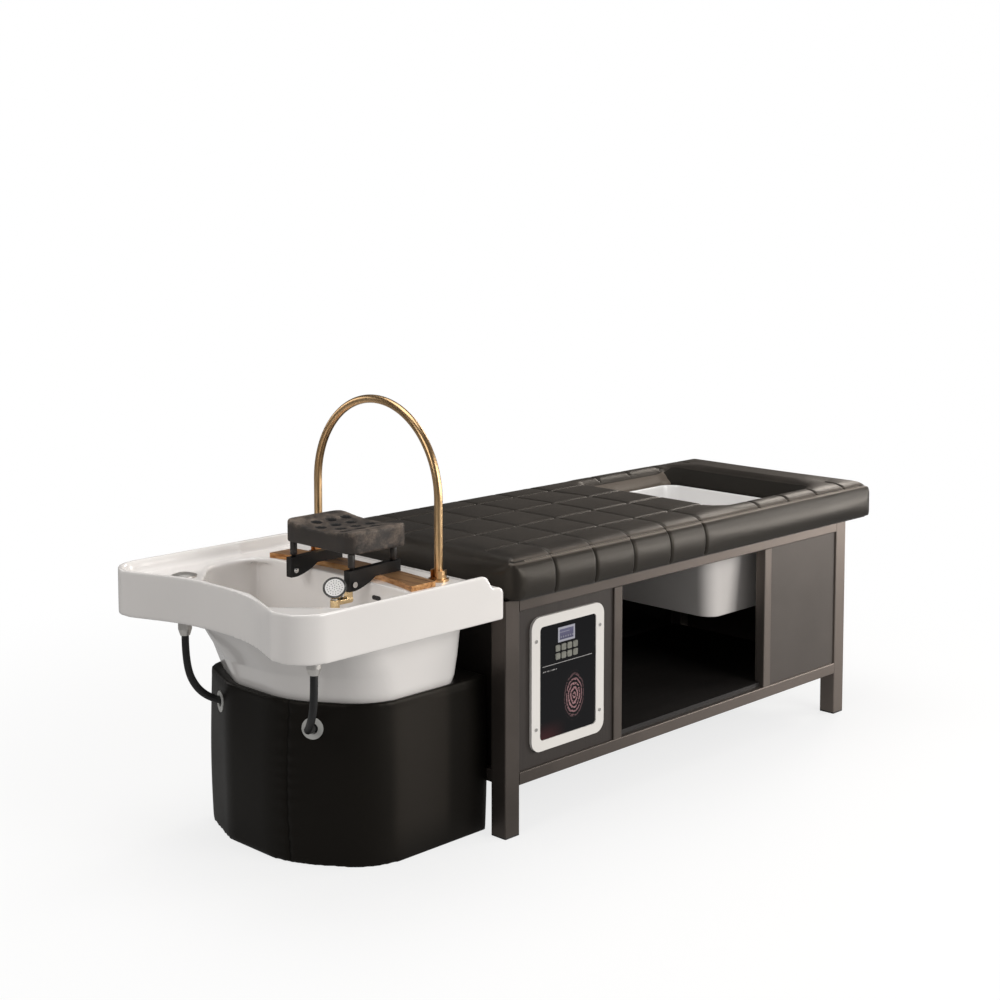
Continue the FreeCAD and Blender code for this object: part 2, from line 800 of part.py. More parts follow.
def water_equipment():
    floor_z = lower_rail_top + shelf_thickness
    tank_height = upper_rail_bottom - tank_top_gap - floor_z
    x0 = frame_head_x + tank_from_head
    y1 = half_frame - back_panel_setback - panel_thickness - clearance
    tank = rounded_block(x0, x0 + tank_length, y1 - tank_width, y1, floor_z,
                         floor_z + tank_height, tank_edge_radius, "z")
    hollow = rounded_block(x0 + tank_wall, x0 + tank_length - tank_wall,
                           y1 - tank_width + tank_wall, y1 - tank_wall, floor_z + tank_wall,
                           floor_z + tank_height - tank_wall, tank_edge_radius - tank_wall, "z")
    save("water_tank", tank.cut(hollow))
    pump_x = frame_head_x + pump_from_head
    axis_z = floor_z + pump_foot_height + pump_head_radius
    motor = rod(pump_body_radius, pump_body_length, vec(pump_x, 0, axis_z), vec(1, 0, 0))
    head = rod(pump_head_radius, pump_head_length, vec(pump_x, 0, axis_z), vec(-1, 0, 0))
    foot = block(pump_x - pump_head_length, pump_x + pump_body_length, -pump_foot_width / 2,
                 pump_foot_width / 2, floor_z, floor_z + pump_foot_height
                 + pump_head_radius - pump_body_radius + pump_foot_height)
    outlet = rod(pump_outlet_radius, pump_head_radius + pump_outlet_height,
                 vec(pump_x - pump_head_length / 2, 0, axis_z), vec(0, 0, 1))
    save("circulation_pump", motor.fuse([head, foot, outlet]).removeSplitter())


# Wash basin

def rim_plan():
    """Plan of the basin's rim: two horns and a hollow edge at the far end."""
    turn = math.radians(90 + horn_taper)
    slope = math.tan(math.radians(horn_taper))
    half = basin_width / 2
    corner_x = far_x + horn_radius - horn_radius * math.tan(turn / 2)
    inner_x = corner_x + (half - horn_inner_half_width) * slope
    near = basin_bed_x
    corners = [(near, -half, basin_bed_corner_radius), (near, half, basin_bed_corner_radius),
               (corner_x, half, horn_radius), (inner_x, horn_inner_half_width, far_edge_radius),
               (inner_x, -horn_inner_half_width, far_edge_radius), (corner_x, -half, horn_radius)]
    return outline(corners, flat_at(0))


def rim_prism(inset, z0, z1):
    wire = rim_plan()
    if inset:
        wire = wire.makeOffset2D(-inset)
    face = Part.Face(wire)
    face.translate(vec(0, 0, z0))
    return face.extrude(vec(0, 0, z1 - z0))


def bowl_section(x0, x1, front, back, facets, near_radius, end_radii, side_radii):
    """Six-cornered plan of the bowl, drawn in by a facet at each far corner."""
    front_length, front_width = facets[0]
    back_length, back_width = facets[1]
    return [(x1, -front, near_radius), (x1, back, near_radius),
            (x0 + back_length, back, side_radii[1]), (x0, back - back_width, end_radii[1]),
            (x0, -front + front_width, end_radii[0]), (x0 + front_length, -front, side_radii[0])]


bowl_near_x = basin_bed_x + bowl_right_inset


def bowl_solid(inset, lift):
    """The bowl's outer body, or its hollow when inset by the wall."""
    wires = []
    for i, z in enumerate(bowl_levels):
        corners = bowl_section(far_x + bowl_far_insets[i] + inset,
                               bowl_near_x - bowl_near_insets[i] - inset,
                               bowl_front_reaches[i] - inset, bowl_back_reaches[i] - inset,
                               (bowl_front_facets[i], bowl_back_facets[i]),
                               bowl_near_radii[i], bowl_end_radii[i], bowl_side_radii[i])
        level = z if i == 0 else z + lift
        wires.append(outline(corners, flat_at(level)))
    return Part.makeLoft(wires, True, True)


waste_x = basin_bed_x - waste_from_bed
fitting_x = far_x + fitting_from_far
# The front tail ends blind in the deck, the back one is capped on top
tail_tops = {-1: deck_z - blind_deck_thickness, 1: deck_z}
bowl_floor_z = bowl_levels[-1] + basin_wall


def wash_basin():
    rim = rim_prism(0, basin_bottom_z, basin_rim_top)
    rim = rim.cut(rim_prism(basin_wall, basin_bottom_z - overrun, deck_bottom_z))
    rim = rim.cut(rim_prism(basin_lip_width, deck_z, basin_rim_top + overrun))
    bowl = bowl_solid(0, 0)
    basin = rim.fuse(bowl)
    mouth = bowl_section(far_x + bowl_opening_far_inset, deck_edge_x,
                         bowl_opening_half_width, bowl_opening_half_width,
                         (bowl_front_facets[0], bowl_back_facets[0]), bowl_near_radii[0],
                         bowl_end_radii[0], bowl_side_radii[0])
    basin = basin.cut(prism(mouth, deck_bottom_z - clearance, basin_rim_top + overrun))
    half = basin_width / 2
    bowl_side = block(far_x, deck_edge_x, -half, half, 0, basin_rim_top)
    deck_side = block(deck_edge_x + basin_wall, basin_bed_x, -half, half, 0, basin_rim_top)
    basin = basin.cut(bowl_solid(basin_wall, basin_wall).common(bowl_side))
    basin = basin.cut(bowl_solid(basin_wall, basin_wall).common(deck_side))
    bottom_z = bowl_levels[-1]
    underside = block(deck_edge_x + basin_wall + underside_inset,
                      basin_bed_x - bowl_near_insets[-1] - underside_inset,
                      sump_offset - underside_half_width, sump_offset + underside_half_width,
                      bottom_z - overrun, bottom_z + basin_wall + overrun)
    basin = basin.cut(underside)
    overflow = block(deck_edge_x - overrun, deck_edge_x + basin_wall + overrun,
                     -overflow_offset - overflow_width / 2, -overflow_offset + overflow_width / 2,
                     basin_rim_top - overflow_drop,
                     basin_rim_top - overflow_drop + overflow_height)
    basin = basin.cut(overflow)
    basin = basin.cut(bed_end_step())
    hole = rod(waste_neck_radius + clearance, overrun + overrun,
               vec(waste_x, sump_offset, bowl_floor_z - overrun), vec(0, 0, 1))
    basin = basin.cut(hole)
    for side, top_z in tail_tops.items():
        basin = basin.cut(rod(tail_radius + clearance, top_z - deck_bottom_z + overrun,
                              vec(fitting_x, side * fitting_offset,
                                  deck_bottom_z - overrun), vec(0, 0, 1)))
    for side in (-1, 1):
        basin = basin.cut(rod(arch_pin_radius, overrun + basin_wall,
                              vec(basin_bed_x + basin_gap_to_bed - arch_from_bed,
                                  side * arch_half_span, deck_bottom_z - overrun), vec(0, 0, 1)))
    save("wash_basin", basin.removeSplitter())


def bed_end_step():
    """Waste block that steps the rim down to the bed: hollow, flat, then rounded off."""
    half = basin_width / 2 + overrun
    top = basin_rim_top + overrun
    x_low = basin_bed_x - step_length
    x_high = basin_bed_x + overrun
    flat_z = basin_rim_top - step_drop
    hollow_x = x_low + step_length - step_flat - step_round
    corners = [(x_low - overrun, basin_rim_top, 0), (x_low, basin_rim_top, step_crest_radius),
               (hollow_x, flat_z, step_hollow_radius), (basin_bed_x, flat_z, step_round),
               (basin_bed_x, flat_z - overrun - step_round, 0),
               (x_high, flat_z - overrun - step_round, 0), (x_high, top, 0),
               (x_low - overrun, top, 0)]
    face = Part.Face(outline(corners, lambda u, v: vec(u, -half, v)))
    return face.extrude(vec(0, half + half, 0))


def basin_waste():
    top = bowl_floor_z
    flange = rod(waste_radius, waste_flange_thickness, vec(waste_x, sump_offset, top),
                 vec(0, 0, 1))
    neck = rod(waste_neck_radius, waste_neck_length, vec(waste_x, sump_offset, top),
               vec(0, 0, -1))
    pipe = rod(waste_pipe_radius, waste_length, vec(waste_x, sump_offset, top), vec(0, 0, -1))
    bore = rod(waste_bore, waste_length + overrun + overrun,
               vec(waste_x, sump_offset, top + overrun), vec(0, 0, -1))
    save("basin_waste", flange.fuse([neck, pipe]).cut(bore).removeSplitter())
    seat = top + waste_flange_thickness
    rim = rod(strainer_rim_radius, strainer_rim_thickness, vec(waste_x, sump_offset, seat),
              vec(0, 0, 1))
    cup = rod(strainer_radius, strainer_depth, vec(waste_x, sump_offset, seat), vec(0, 0, -1))
    cup_hollow = rod(strainer_radius - strainer_wall, strainer_depth - strainer_wall
                     + strainer_rim_thickness, vec(waste_x, sump_offset, seat
                                                   + strainer_rim_thickness), vec(0, 0, -1))
    strainer = rim.fuse(cup).cut(cup_hollow)
    for i in range(strainer_hole_count):
        angle = 2 * math.pi * i / strainer_hole_count
        strainer = strainer.cut(rod(strainer_hole_radius, overrun + strainer_depth,
                                    vec(waste_x + strainer_hole_ring * math.cos(angle),
                                        sump_offset + strainer_hole_ring * math.sin(angle),
                                        seat + strainer_rim_thickness), vec(0, 0, -1)))
    save("basin_strainer", strainer.removeSplitter())


# Skirt

skirt_far_x = far_x + skirt_far_inset
skirt_near_x = frame_head_x + leg_size - rail_size - clearance


def skirt_plan():
    front = skirt_offset - skirt_half_width
    back = skirt_offset + skirt_half_width
    notch_x = frame_head_x - clearance
    notch_y = half_frame - leg_size - clearance
    front_length, front_width = skirt_front_facet
    back_length, back_width = skirt_back_facet
    return [(skirt_near_x, front, skirt_edge_radius), (skirt_near_x, notch_y, skirt_edge_radius),
            (notch_x, notch_y, 0), (notch_x, back, skirt_edge_radius),
            (skirt_far_x + back_length, back, skirt_back_side_radius),
            (skirt_far_x, back - back_width, skirt_back_end_radius),
            (skirt_far_x, front + front_width, skirt_front_end_radius),
            (skirt_far_x + front_length, front, skirt_front_side_radius)]


def grommet_place(side):
    """Point on the skirt's facet and the way out of it, for the front or back hose."""
    length, width = skirt_back_facet if side > 0 else skirt_front_facet
    share = grommet_facet_shares[1 if side > 0 else 0]
    edge_y = skirt_offset + side * skirt_half_width
    x = skirt_far_x + length * (1 - share)
    y = edge_y - side * width * share
    size = math.hypot(length, width)
    out = vec(-width / size, side * length / size, 0)
    return vec(x, y, skirt_height - grommet_drop), out


def skirt():
    wire = outline(skirt_plan(), flat_at(0))
    body = Part.Face(wire).extrude(vec(0, 0, skirt_height))
    inner = Part.Face(wire.makeOffset2D(-skirt_wall))
    inner.translate(vec(0, 0, -overrun))
    hollow = inner.extrude(vec(0, 0, skirt_height - skirt_top_thickness + overrun))
    body = body.cut(hollow).cut(bowl_solid(-clearance, -clearance))
    grommets = []
    for side in (-1, 1):
        place, out = grommet_place(side)
        hole = rod(grommet_neck_radius + clearance, skirt_wall + overrun + overrun,
                   place + out * overrun, -out)
        body = body.cut(hole)
        flange = rod(grommet_outer_radius, grommet_flange, place, out)
        neck = rod(grommet_neck_radius, skirt_wall, place, -out)
        bore = rod(hose_radius + grommet_bore_clearance, skirt_wall + overrun + overrun,
                   place + out * overrun, -out)
        grommets.append(flange.fuse(neck).cut(bore).removeSplitter())
    save("skirt", body)
    save("skirt_grommets", Part.makeCompound(grommets))


# Deck fittings and their hoses

def deck_fittings():
    caps = []
    nuts = []
    x = fitting_x
    tail_bottom = deck_z - tail_length
    for side, top_z in tail_tops.items():
        y = side * fitting_offset
        tail = rod(tail_radius, top_z - tail_bottom, vec(x, y, tail_bottom), vec(0, 0, 1))
        if top_z == deck_z:
            disc = rod(cap_radius, cap_height / 2, vec(x, y, deck_z), vec(0, 0, 1))
            dome = Part.makeCone(cap_radius, cap_crown_radius, cap_height / 2,
                                 vec(x, y, deck_z + cap_height / 2), vec(0, 0, 1))
            tail = tail.fuse([disc, dome]).removeSplitter()
        caps.append(tail)
        nut_z = tail_bottom + nut_length - nut_cone_length
        body = rod(nut_radius, nut_length, vec(x, y, nut_z), vec(0, 0, -1))
        cone = Part.makeCone(nut_radius, nut_cone_radius, nut_cone_length,
                             vec(x, y, nut_z - nut_length), vec(0, 0, -1))
        socket = rod(tail_radius, overrun + nut_length, vec(x, y, nut_z + overrun), vec(0, 0, -1))
        socket = socket.common(block(x - cap_radius, x + cap_radius, y - cap_radius,
                                     y + cap_radius, tail_bottom, deck_z))
        nuts.append(body.fuse(cone).cut(socket).removeSplitter())
    save("hose_fittings", Part.makeCompound(caps + nuts))


hose_top_z = deck_z - tail_length - nut_cone_length - nut_cone_length


def hose(name, side, bends):
    """Hose made of straight runs joined by tangent arcs, as large as the runs allow."""
    start = vec(fitting_x, side * fitting_offset, hose_top_z)
    points = [start + vec(*bend) for bend in bends]
    edges = []
    here = start
    for i in range(1, len(points) - 1):
        before = points[i - 1] - points[i]
        after = points[i + 1] - points[i]
        shorter = min(before.Length, after.Length)
        turn = math.pi - before.getAngle(after)
        reach = hose_bend_share * shorter
        radius = reach / math.tan(turn / 2)
        print(name, "bend", i, "radius", round(radius, 1), "turn", round(math.degrees(turn)))
        before.normalize()
        after.normalize()
        bend_start = points[i] + before * reach
        bend_end = points[i] + after * reach
        middle_way = before + after
        middle_way.normalize()
        depth = radius / math.cos(turn / 2) - radius
        edges.append(Part.LineSegment(here, bend_start).toShape())
        edges.append(Part.Arc(bend_start, points[i] + middle_way * depth, bend_end).toShape())
        here = bend_end
    edges.append(Part.LineSegment(here, points[-1]).toShape())
    path = Part.Wire(edges)
    circle = Part.makeCircle(hose_radius, start, vec(0, 0, 1))
    tube = path.makePipeShell([Part.Wire(circle)], True, False)
    expected = math.pi * hose_radius ** 2 * path.Length
    print(name, "length", round(path.Length, 1), "volume share", round(tube.Volume / expected, 4))
    save(name, tube)


# Arch fountain

arch_x = head_x - arch_from_bed
arch_pivot_z = deck_z + arch_hub_height
spring_z = arch_pivot_z + arch_leg_length


def arch():
    tube_parts = []
    for radius in (arch_tube_radius, arch_tube_bore):
        left = vec(arch_x, arch_half_span, arch_pivot_z)
        left_top = vec(arch_x, arch_half_span, spring_z)
        right = vec(arch_x, -arch_half_span, arch_pivot_z)
        right_top = vec(arch_x, -arch_half_span, spring_z)
        apex = vec(arch_x, 0, spring_z + arch_half_span)
        path = Part.Wire([Part.LineSegment(left, left_top).toShape(),
                          Part.Arc(left_top, apex, right_top).toShape(),
                          Part.LineSegment(right_top, right).toShape()])
        section = Part.Wire(Part.makeCircle(radius, left, vec(0, 0, 1)))
        tube_parts.append(path.makePipeShell([section], True, False))
    tube = tube_parts[0].cut(tube_parts[1])
    feet = []
    for side in (-1, 1):
        hub = vec(arch_x, side * arch_half_span, arch_pivot_z)
        ball = Part.makeSphere(arch_tube_radius, hub)
        pin_half = arch_foot_radius
        pin = rod(arch_pin_radius, pin_half + pin_half, hub - vec(0, pin_half, 0), vec(0, 1, 0))
        tube = tube.fuse([ball, pin])
        base = hub - vec(0, 0, arch_hub_height)
        flange = rod(arch_foot_flange_radius, arch_foot_flange_height, base, vec(0, 0, 1))
        post = rod(arch_foot_radius, arch_foot_height, base, vec(0, 0, 1))
        half_slot = arch_tube_radius + arch_slot_clearance
        slot = block(hub.x - arch_foot_flange_radius - overrun,
                     hub.x + arch_foot_flange_radius + overrun, hub.y - half_slot,
                     hub.y + half_slot, arch_pivot_z - half_slot, deck_z + arch_foot_height
                     + overrun)
        bore = rod(arch_pin_radius + arch_pin_clearance, arch_foot_radius * 2 + overrun * 2,
                   hub - vec(0, arch_foot_radius + overrun, 0), vec(0, 1, 0))
        feet.append(flange.fuse(post).cut(slot).cut(bore).removeSplitter())
    save("arch_tube", tube.removeSplitter())
    save("arch_feet", Part.makeCompound(feet))


def waterfall_bar():
    x1 = head_x - bar_from_bed
    x0 = x1 - bar_width
    ends = (-bar_half_length, bar_half_length)
    front_low, back_low = vec(x0, ends[0], deck_z), vec(x0, ends[1], deck_z)
    front_high, back_high = vec(x1, ends[0], deck_z), vec(x1, ends[1], deck_z)
    bowl_edge = Part.Arc(front_low, vec(x0 + bar_bow, 0, deck_z), back_low).toShape()
    bed_edge = Part.Arc(back_high, vec(x1 + bar_back_bow, 0, deck_z), front_high).toShape()
    wire = Part.Wire([bowl_edge, Part.makeLine(back_low, back_high), bed_edge,
                      Part.makeLine(front_high, front_low)])
    bar = Part.Face(wire).extrude(vec(0, 0, bar_thickness))
    save("waterfall_bar", bar)


# Headrest

pad_x1 = head_x - headrest_from_bed
pad_x0 = pad_x1 - pad_length
arm_x1 = head_x - arm_end_from_bed
arm_x0 = arm_x1 - arm_length
arm_places = {side: arm_offset + side * arm_half_spacing for side in (-1, 1)}
post_places = [(x, arm_places[side]) for x in (arm_x0 + post_inset, arm_x1 - post_inset)
               for side in (-1, 1)]
pad_top = pad_bottom + pad_thickness


def headrest():
    half = pad_width / 2
    pad = prism(rectangle(pad_x0, pad_x1, -half, half, pad_corner_radius), pad_bottom, pad_top)
    crest_z = pad_top - tiny_gap
    crest = [edge for edge in pad.Edges if all(v.Z > crest_z for v in edge.Vertexes)]
    pad = pad.makeFillet(pad_edge_round, crest)
    dip_half = half - pad_corner_radius / 2
    dip_radius = (dip_half ** 2 + pad_dip ** 2) / (2 * pad_dip)
    trough = rod(dip_radius, pad_length + overrun + overrun,
                 vec(pad_x0 - overrun, 0, pad_top - pad_dip + dip_radius), vec(1, 0, 0))
    pad = pad.cut(trough)
    middle_x = (pad_x0 + pad_x1) / 2
    for row in range(pad_hole_rows):
        y = (row - (pad_hole_rows - 1) / 2) * pad_hole_pitch_y
        shift = pad_hole_pitch_x / 4 if row % 2 else -pad_hole_pitch_x / 4
        for column in range(pad_hole_columns):
            x = middle_x + shift + (column - (pad_hole_columns - 1) / 2) * pad_hole_pitch_x
            pad = pad.cut(rod(pad_hole_radius, pad_thickness + overrun + overrun,
                              vec(x, y, pad_bottom - overrun), vec(0, 0, 1)))
    posts = []
    for x, y in post_places:
        bottom = arm_top_low - post_socket_depth + clearance
        post = rod(post_radius, pad_bottom + post_pad_depth - bottom, vec(x, y, bottom),
                   vec(0, 0, 1))
        posts.append(post)
        pad = pad.cut(rod(post_radius, post_pad_depth + overrun,
                          vec(x, y, pad_bottom - overrun), vec(0, 0, 1)))
    save("headrest_pad", pad)
    save("headrest_posts", Part.makeCompound(posts))
    for side, name in ((-1, "front"), (1, "back")):
        save("headrest_arm_" + name, headrest_arm(side))


def headrest_arm(side):
    y0 = arm_places[side] - arm_thickness / 2
    seat_z = deck_z + bar_thickness
    slope_x0 = arm_x0 + arm_tip_flat
    slope_x1 = slope_x0 + arm_slope_length
    belly_start = vec(slope_x0, y0, arm_tip_bottom)
    belly_end = vec(slope_x1, y0, seat_z)
    belly_middle = (belly_start + belly_end) * 0.5 - vec(0, 0, arm_belly)
    corners = [(slope_x1, seat_z), (arm_x1, seat_z), (arm_x1, arm_top_high),
               (arm_x0, arm_top_low), (arm_x0, arm_tip_bottom), (slope_x0, arm_tip_bottom)]
    straight = Part.makePolygon([vec(u, y0, v) for u, v in corners])
    belly = Part.Arc(belly_start, belly_middle, belly_end).toShape()
    arm = Part.Face(Part.Wire(straight.Edges + [belly])).extrude(vec(0, arm_thickness, 0))
    for x, y in post_places:
        if y == arm_places[side]:
            arm = arm.cut(rod(post_radius + post_clearance, post_socket_depth + overrun,
                              vec(x, y, arm_top_low - post_socket_depth), vec(0, 0, 1)))
    bolt = vec(arm_x0 + bolt_from_tip, y0, basin_rim_top - bolt_drop)
    if side > 0:
        bolt = bolt + vec(0, arm_thickness, 0)
    return arm.cut(rod(bolt_shank_radius, bolt_shank_length, bolt, vec(0, -side, 0)))


def headrest_bolts():
    bolts = []
    for side in (-1, 1):
        face_y = arm_places[side] + side * arm_thickness / 2
        place = vec(arm_x0 + bolt_from_tip, face_y, basin_rim_top - bolt_drop)
        head = rod(bolt_head_radius, bolt_head_height, place, vec(0, side, 0))
        shank = rod(bolt_shank_radius, bolt_shank_length, place, vec(0, -side, 0))
        bolts.append(head.fuse(shank).removeSplitter())
    save("headrest_bolts", Part.makeCompound(bolts))


# Hand shower

shower_x = arm_x0 - shower_from_arm_tip
shower_y = arm_places[-1] + shower_side_offset


def hand_shower():
    turn = math.radians(shower_turn)
    tilt = math.radians(shower_tilt)
    facing = vec(math.cos(turn) * math.cos(tilt), math.sin(turn) * math.cos(tilt),
                 math.sin(tilt))
    centre = vec(shower_x, shower_y, shower_head_height)
    back = centre - facing * (shower_head_thickness / 2)
    shell = Part.makeCone(shower_face_radius, shower_head_radius, shower_head_thickness,
                          back, facing)
    neck_bottom = socket_top - shower_neck_depth
    neck = rod(shower_neck_radius, shower_head_height - neck_bottom,
               vec(shower_x, shower_y, neck_bottom), vec(0, 0, 1))
    front = centre + facing * (shower_head_thickness / 2)
    ahead = rod(shower_head_radius + overrun, overrun + overrun, front, facing)
    save("hand_shower", shell.fuse(neck.cut(ahead)).removeSplitter())
    socket = rod(socket_radius, socket_height, vec(shower_x, shower_y, socket_top),
                 vec(0, 0, -1))
    bridge_z = arm_tip_bottom - bridge_drop
    saddle_x = arm_x0 + saddle_length
    bridge = rod(bridge_radius, saddle_x - shower_x, vec(shower_x, shower_y, bridge_z),
                 vec(1, 0, 0))
    saddle = block(arm_x0, saddle_x, shower_y - saddle_width / 2, shower_y + saddle_width / 2,
                   bridge_z, arm_tip_bottom)
    bore = rod(shower_neck_radius + socket_clearance, shower_neck_depth + overrun,
               vec(shower_x, shower_y, neck_bottom), vec(0, 0, 1))
    save("shower_connector", socket.fuse([bridge, saddle]).cut(bore).removeSplitter())


os.makedirs("parts", exist_ok=True)
legs()
rails()
covers()
bed_board()
mattress()
foot_basin()
control_panel()
control_box()
water_equipment()
wash_basin()
basin_waste()
skirt()
deck_fittings()
hose("hose_front", -1, front_hose_bends)
hose("hose_back", 1, back_hose_bends)
arch()
waterfall_bar()
headrest()
headrest_bolts()
hand_shower()
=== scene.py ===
import math

import bpy
import numpy as np
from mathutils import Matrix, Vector
from mathutils.bvhtree import BVHTree


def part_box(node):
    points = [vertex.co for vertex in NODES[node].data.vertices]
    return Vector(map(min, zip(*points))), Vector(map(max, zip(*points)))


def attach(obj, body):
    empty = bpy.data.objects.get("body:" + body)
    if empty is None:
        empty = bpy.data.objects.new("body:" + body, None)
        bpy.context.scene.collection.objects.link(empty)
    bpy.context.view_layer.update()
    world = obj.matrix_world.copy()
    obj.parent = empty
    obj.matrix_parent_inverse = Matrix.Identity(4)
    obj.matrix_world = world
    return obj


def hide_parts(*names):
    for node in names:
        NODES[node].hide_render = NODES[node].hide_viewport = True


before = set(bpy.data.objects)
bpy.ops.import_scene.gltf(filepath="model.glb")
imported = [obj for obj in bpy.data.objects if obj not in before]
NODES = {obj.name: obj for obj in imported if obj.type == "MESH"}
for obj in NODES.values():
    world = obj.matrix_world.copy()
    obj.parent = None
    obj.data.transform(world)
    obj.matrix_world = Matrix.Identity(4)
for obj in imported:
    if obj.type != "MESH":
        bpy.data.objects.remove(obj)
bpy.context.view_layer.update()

bl_info = {
    "name": "Hair washing bed",
    "version": (1, 0, 0),
    "blender": (4, 5, 0),
    "location": "3D View > Sidebar > Hair washing bed",
    "description": "Finishes and soft pieces of a hair washing bed",
    "category": "Object",
}

TUBE_NODES = ("leg_front", "leg_back", "rail_", "post_", "tub_rails")
KEY_NAMES = ["key_%d" % number for number in range(1, 9)]
WARM_SHEEN = (1.0, 0.92, 0.80)
LEATHER_GRAIN = 780.0

# Places on the bed, in metres
MATTRESS_LOW, MATTRESS_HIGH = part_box("mattress")
BED_TOP = MATTRESS_HIGH[2]
HEAD_X, FOOT_X = MATTRESS_LOW[0], MATTRESS_HIGH[0]
HALF_BED = MATTRESS_HIGH[1]
TUB_LOW, TUB_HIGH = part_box("foot_basin")
OPENING_X0, OPENING_X1 = 0.408, 0.803
OPENING_HALF = 0.225
LINING_HALF = OPENING_HALF + 0.014
END_LEAN, SIDE_LEAN = 0.026, 0.013
GLASS_LOW, GLASS_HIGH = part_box("panel_glass")
DISPLAY_LOW, DISPLAY_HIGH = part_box("display")
BASIN_LOW, BASIN_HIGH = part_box("wash_basin")
BASIN_HORN = 0.075
SKIRT_LOW, SKIRT_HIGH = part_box("skirt")
SKIRT_SEAM_Y = -0.050
OVERFLOW = (-0.657, -0.136, 0.569)

# Seams of the cushion
ACROSS_PITCH = (OPENING_X0 - HEAD_X) / 6
ALONG_PITCH = 0.138
RIM_PITCH = 0.131
RIM_START = OPENING_X0 + 0.112
SEAMS_ACROSS = [HEAD_X + ACROSS_PITCH * (i + 1) for i in range(5)]
SEAMS_ALONG = [ALONG_PITCH * (i - 1.5) for i in range(4)]
RIM_SEAMS = [RIM_START + RIM_PITCH * i for i in range(4)]
EDGE_SEAM_DROP = 0.017
EDGE_SEAM_Z = BED_TOP - EDGE_SEAM_DROP
EDGE_BAND = 0.03
ACROSS_WIDTH, ALONG_WIDTH, EDGE_WIDTH = 0.0034, 0.0042, 0.0032
EDGE_DEPTH = 0.6
STITCH_ROWS = (EDGE_SEAM_DROP - 0.003, EDGE_SEAM_DROP + 0.003)
STITCH_PITCH = 1.45

# Air holes of the head cushion
PAD_LOW, PAD_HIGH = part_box("headrest_pad")
PAD_TOP, PAD_MIDDLE = PAD_HIGH[2], (PAD_LOW[0] + PAD_HIGH[0]) / 2
PAD_HOLES = (0.043, 0.042)
FUNNEL_OUTSIDE, FUNNEL_INSIDE, FUNNEL_DEPTH = 0.0165, 0.0080, 0.0055
HOLE_RADIUS = 0.0134


# Shader expressions

def maths(operation, swapped=False):
    """Method of a value that adds one Math node."""
    def add(value, other=0.0):
        first, second = (other, value) if swapped else (value, other)
        return value.nodes.node("ShaderNodeMath", {"operation": operation},
                                {0: first, 1: second}, "Value")
    return add


class Value:
    """Socket among a finish's nodes; sums, products and powers of it add Math nodes."""

    def __init__(self, nodes, socket):
        self.nodes = nodes
        self.socket = socket

    __add__, __radd__ = maths("ADD"), maths("ADD", swapped=True)
    __sub__, __rsub__ = maths("SUBTRACT"), maths("SUBTRACT", swapped=True)
    __mul__, __rmul__ = maths("MULTIPLY"), maths("MULTIPLY", swapped=True)
    __truediv__ = maths("DIVIDE")
    __pow__ = maths("POWER")
    __abs__ = maths("ABSOLUTE")
    above = maths("GREATER_THAN")
    below = maths("LESS_THAN")
    most = maths("MAXIMUM")
    fraction = maths("FRACT")
    sine = maths("SINE")

    def within(self, low, high):
        return self.above(low) * self.below(high)


class Nodes:
    """Nodes of a material or of the studio, built up from none."""

    def __init__(self, owner):
        owner.use_nodes = True
        self.tree = owner.node_tree
        self.tree.nodes.clear()

    def node(self, kind, settings, inputs, output=None):
        made = self.tree.nodes.new(kind)
        for key, setting in settings.items():
            if key == "stops":
                fill_ramp(made.color_ramp, setting)
            else:
                setattr(made, key, setting)
        for key, given in inputs.items():
            self.feed(made.inputs[key], given)
        return None if output is None else Value(self, made.outputs[output])

    def feed(self, socket, given):
        if isinstance(given, Value):
            self.tree.links.new(given.socket, socket)
        elif socket.type == "RGBA":
            socket.default_value = (*given, 1.0)
        else:
            socket.default_value = given

    def ray(self, kind):
        return self.node("ShaderNodeLightPath", {}, {}, kind)

    def blend(self, factor, first, second):
        return self.node("ShaderNodeMixShader", {}, {0: factor, 1: first, 2: second}, 0)


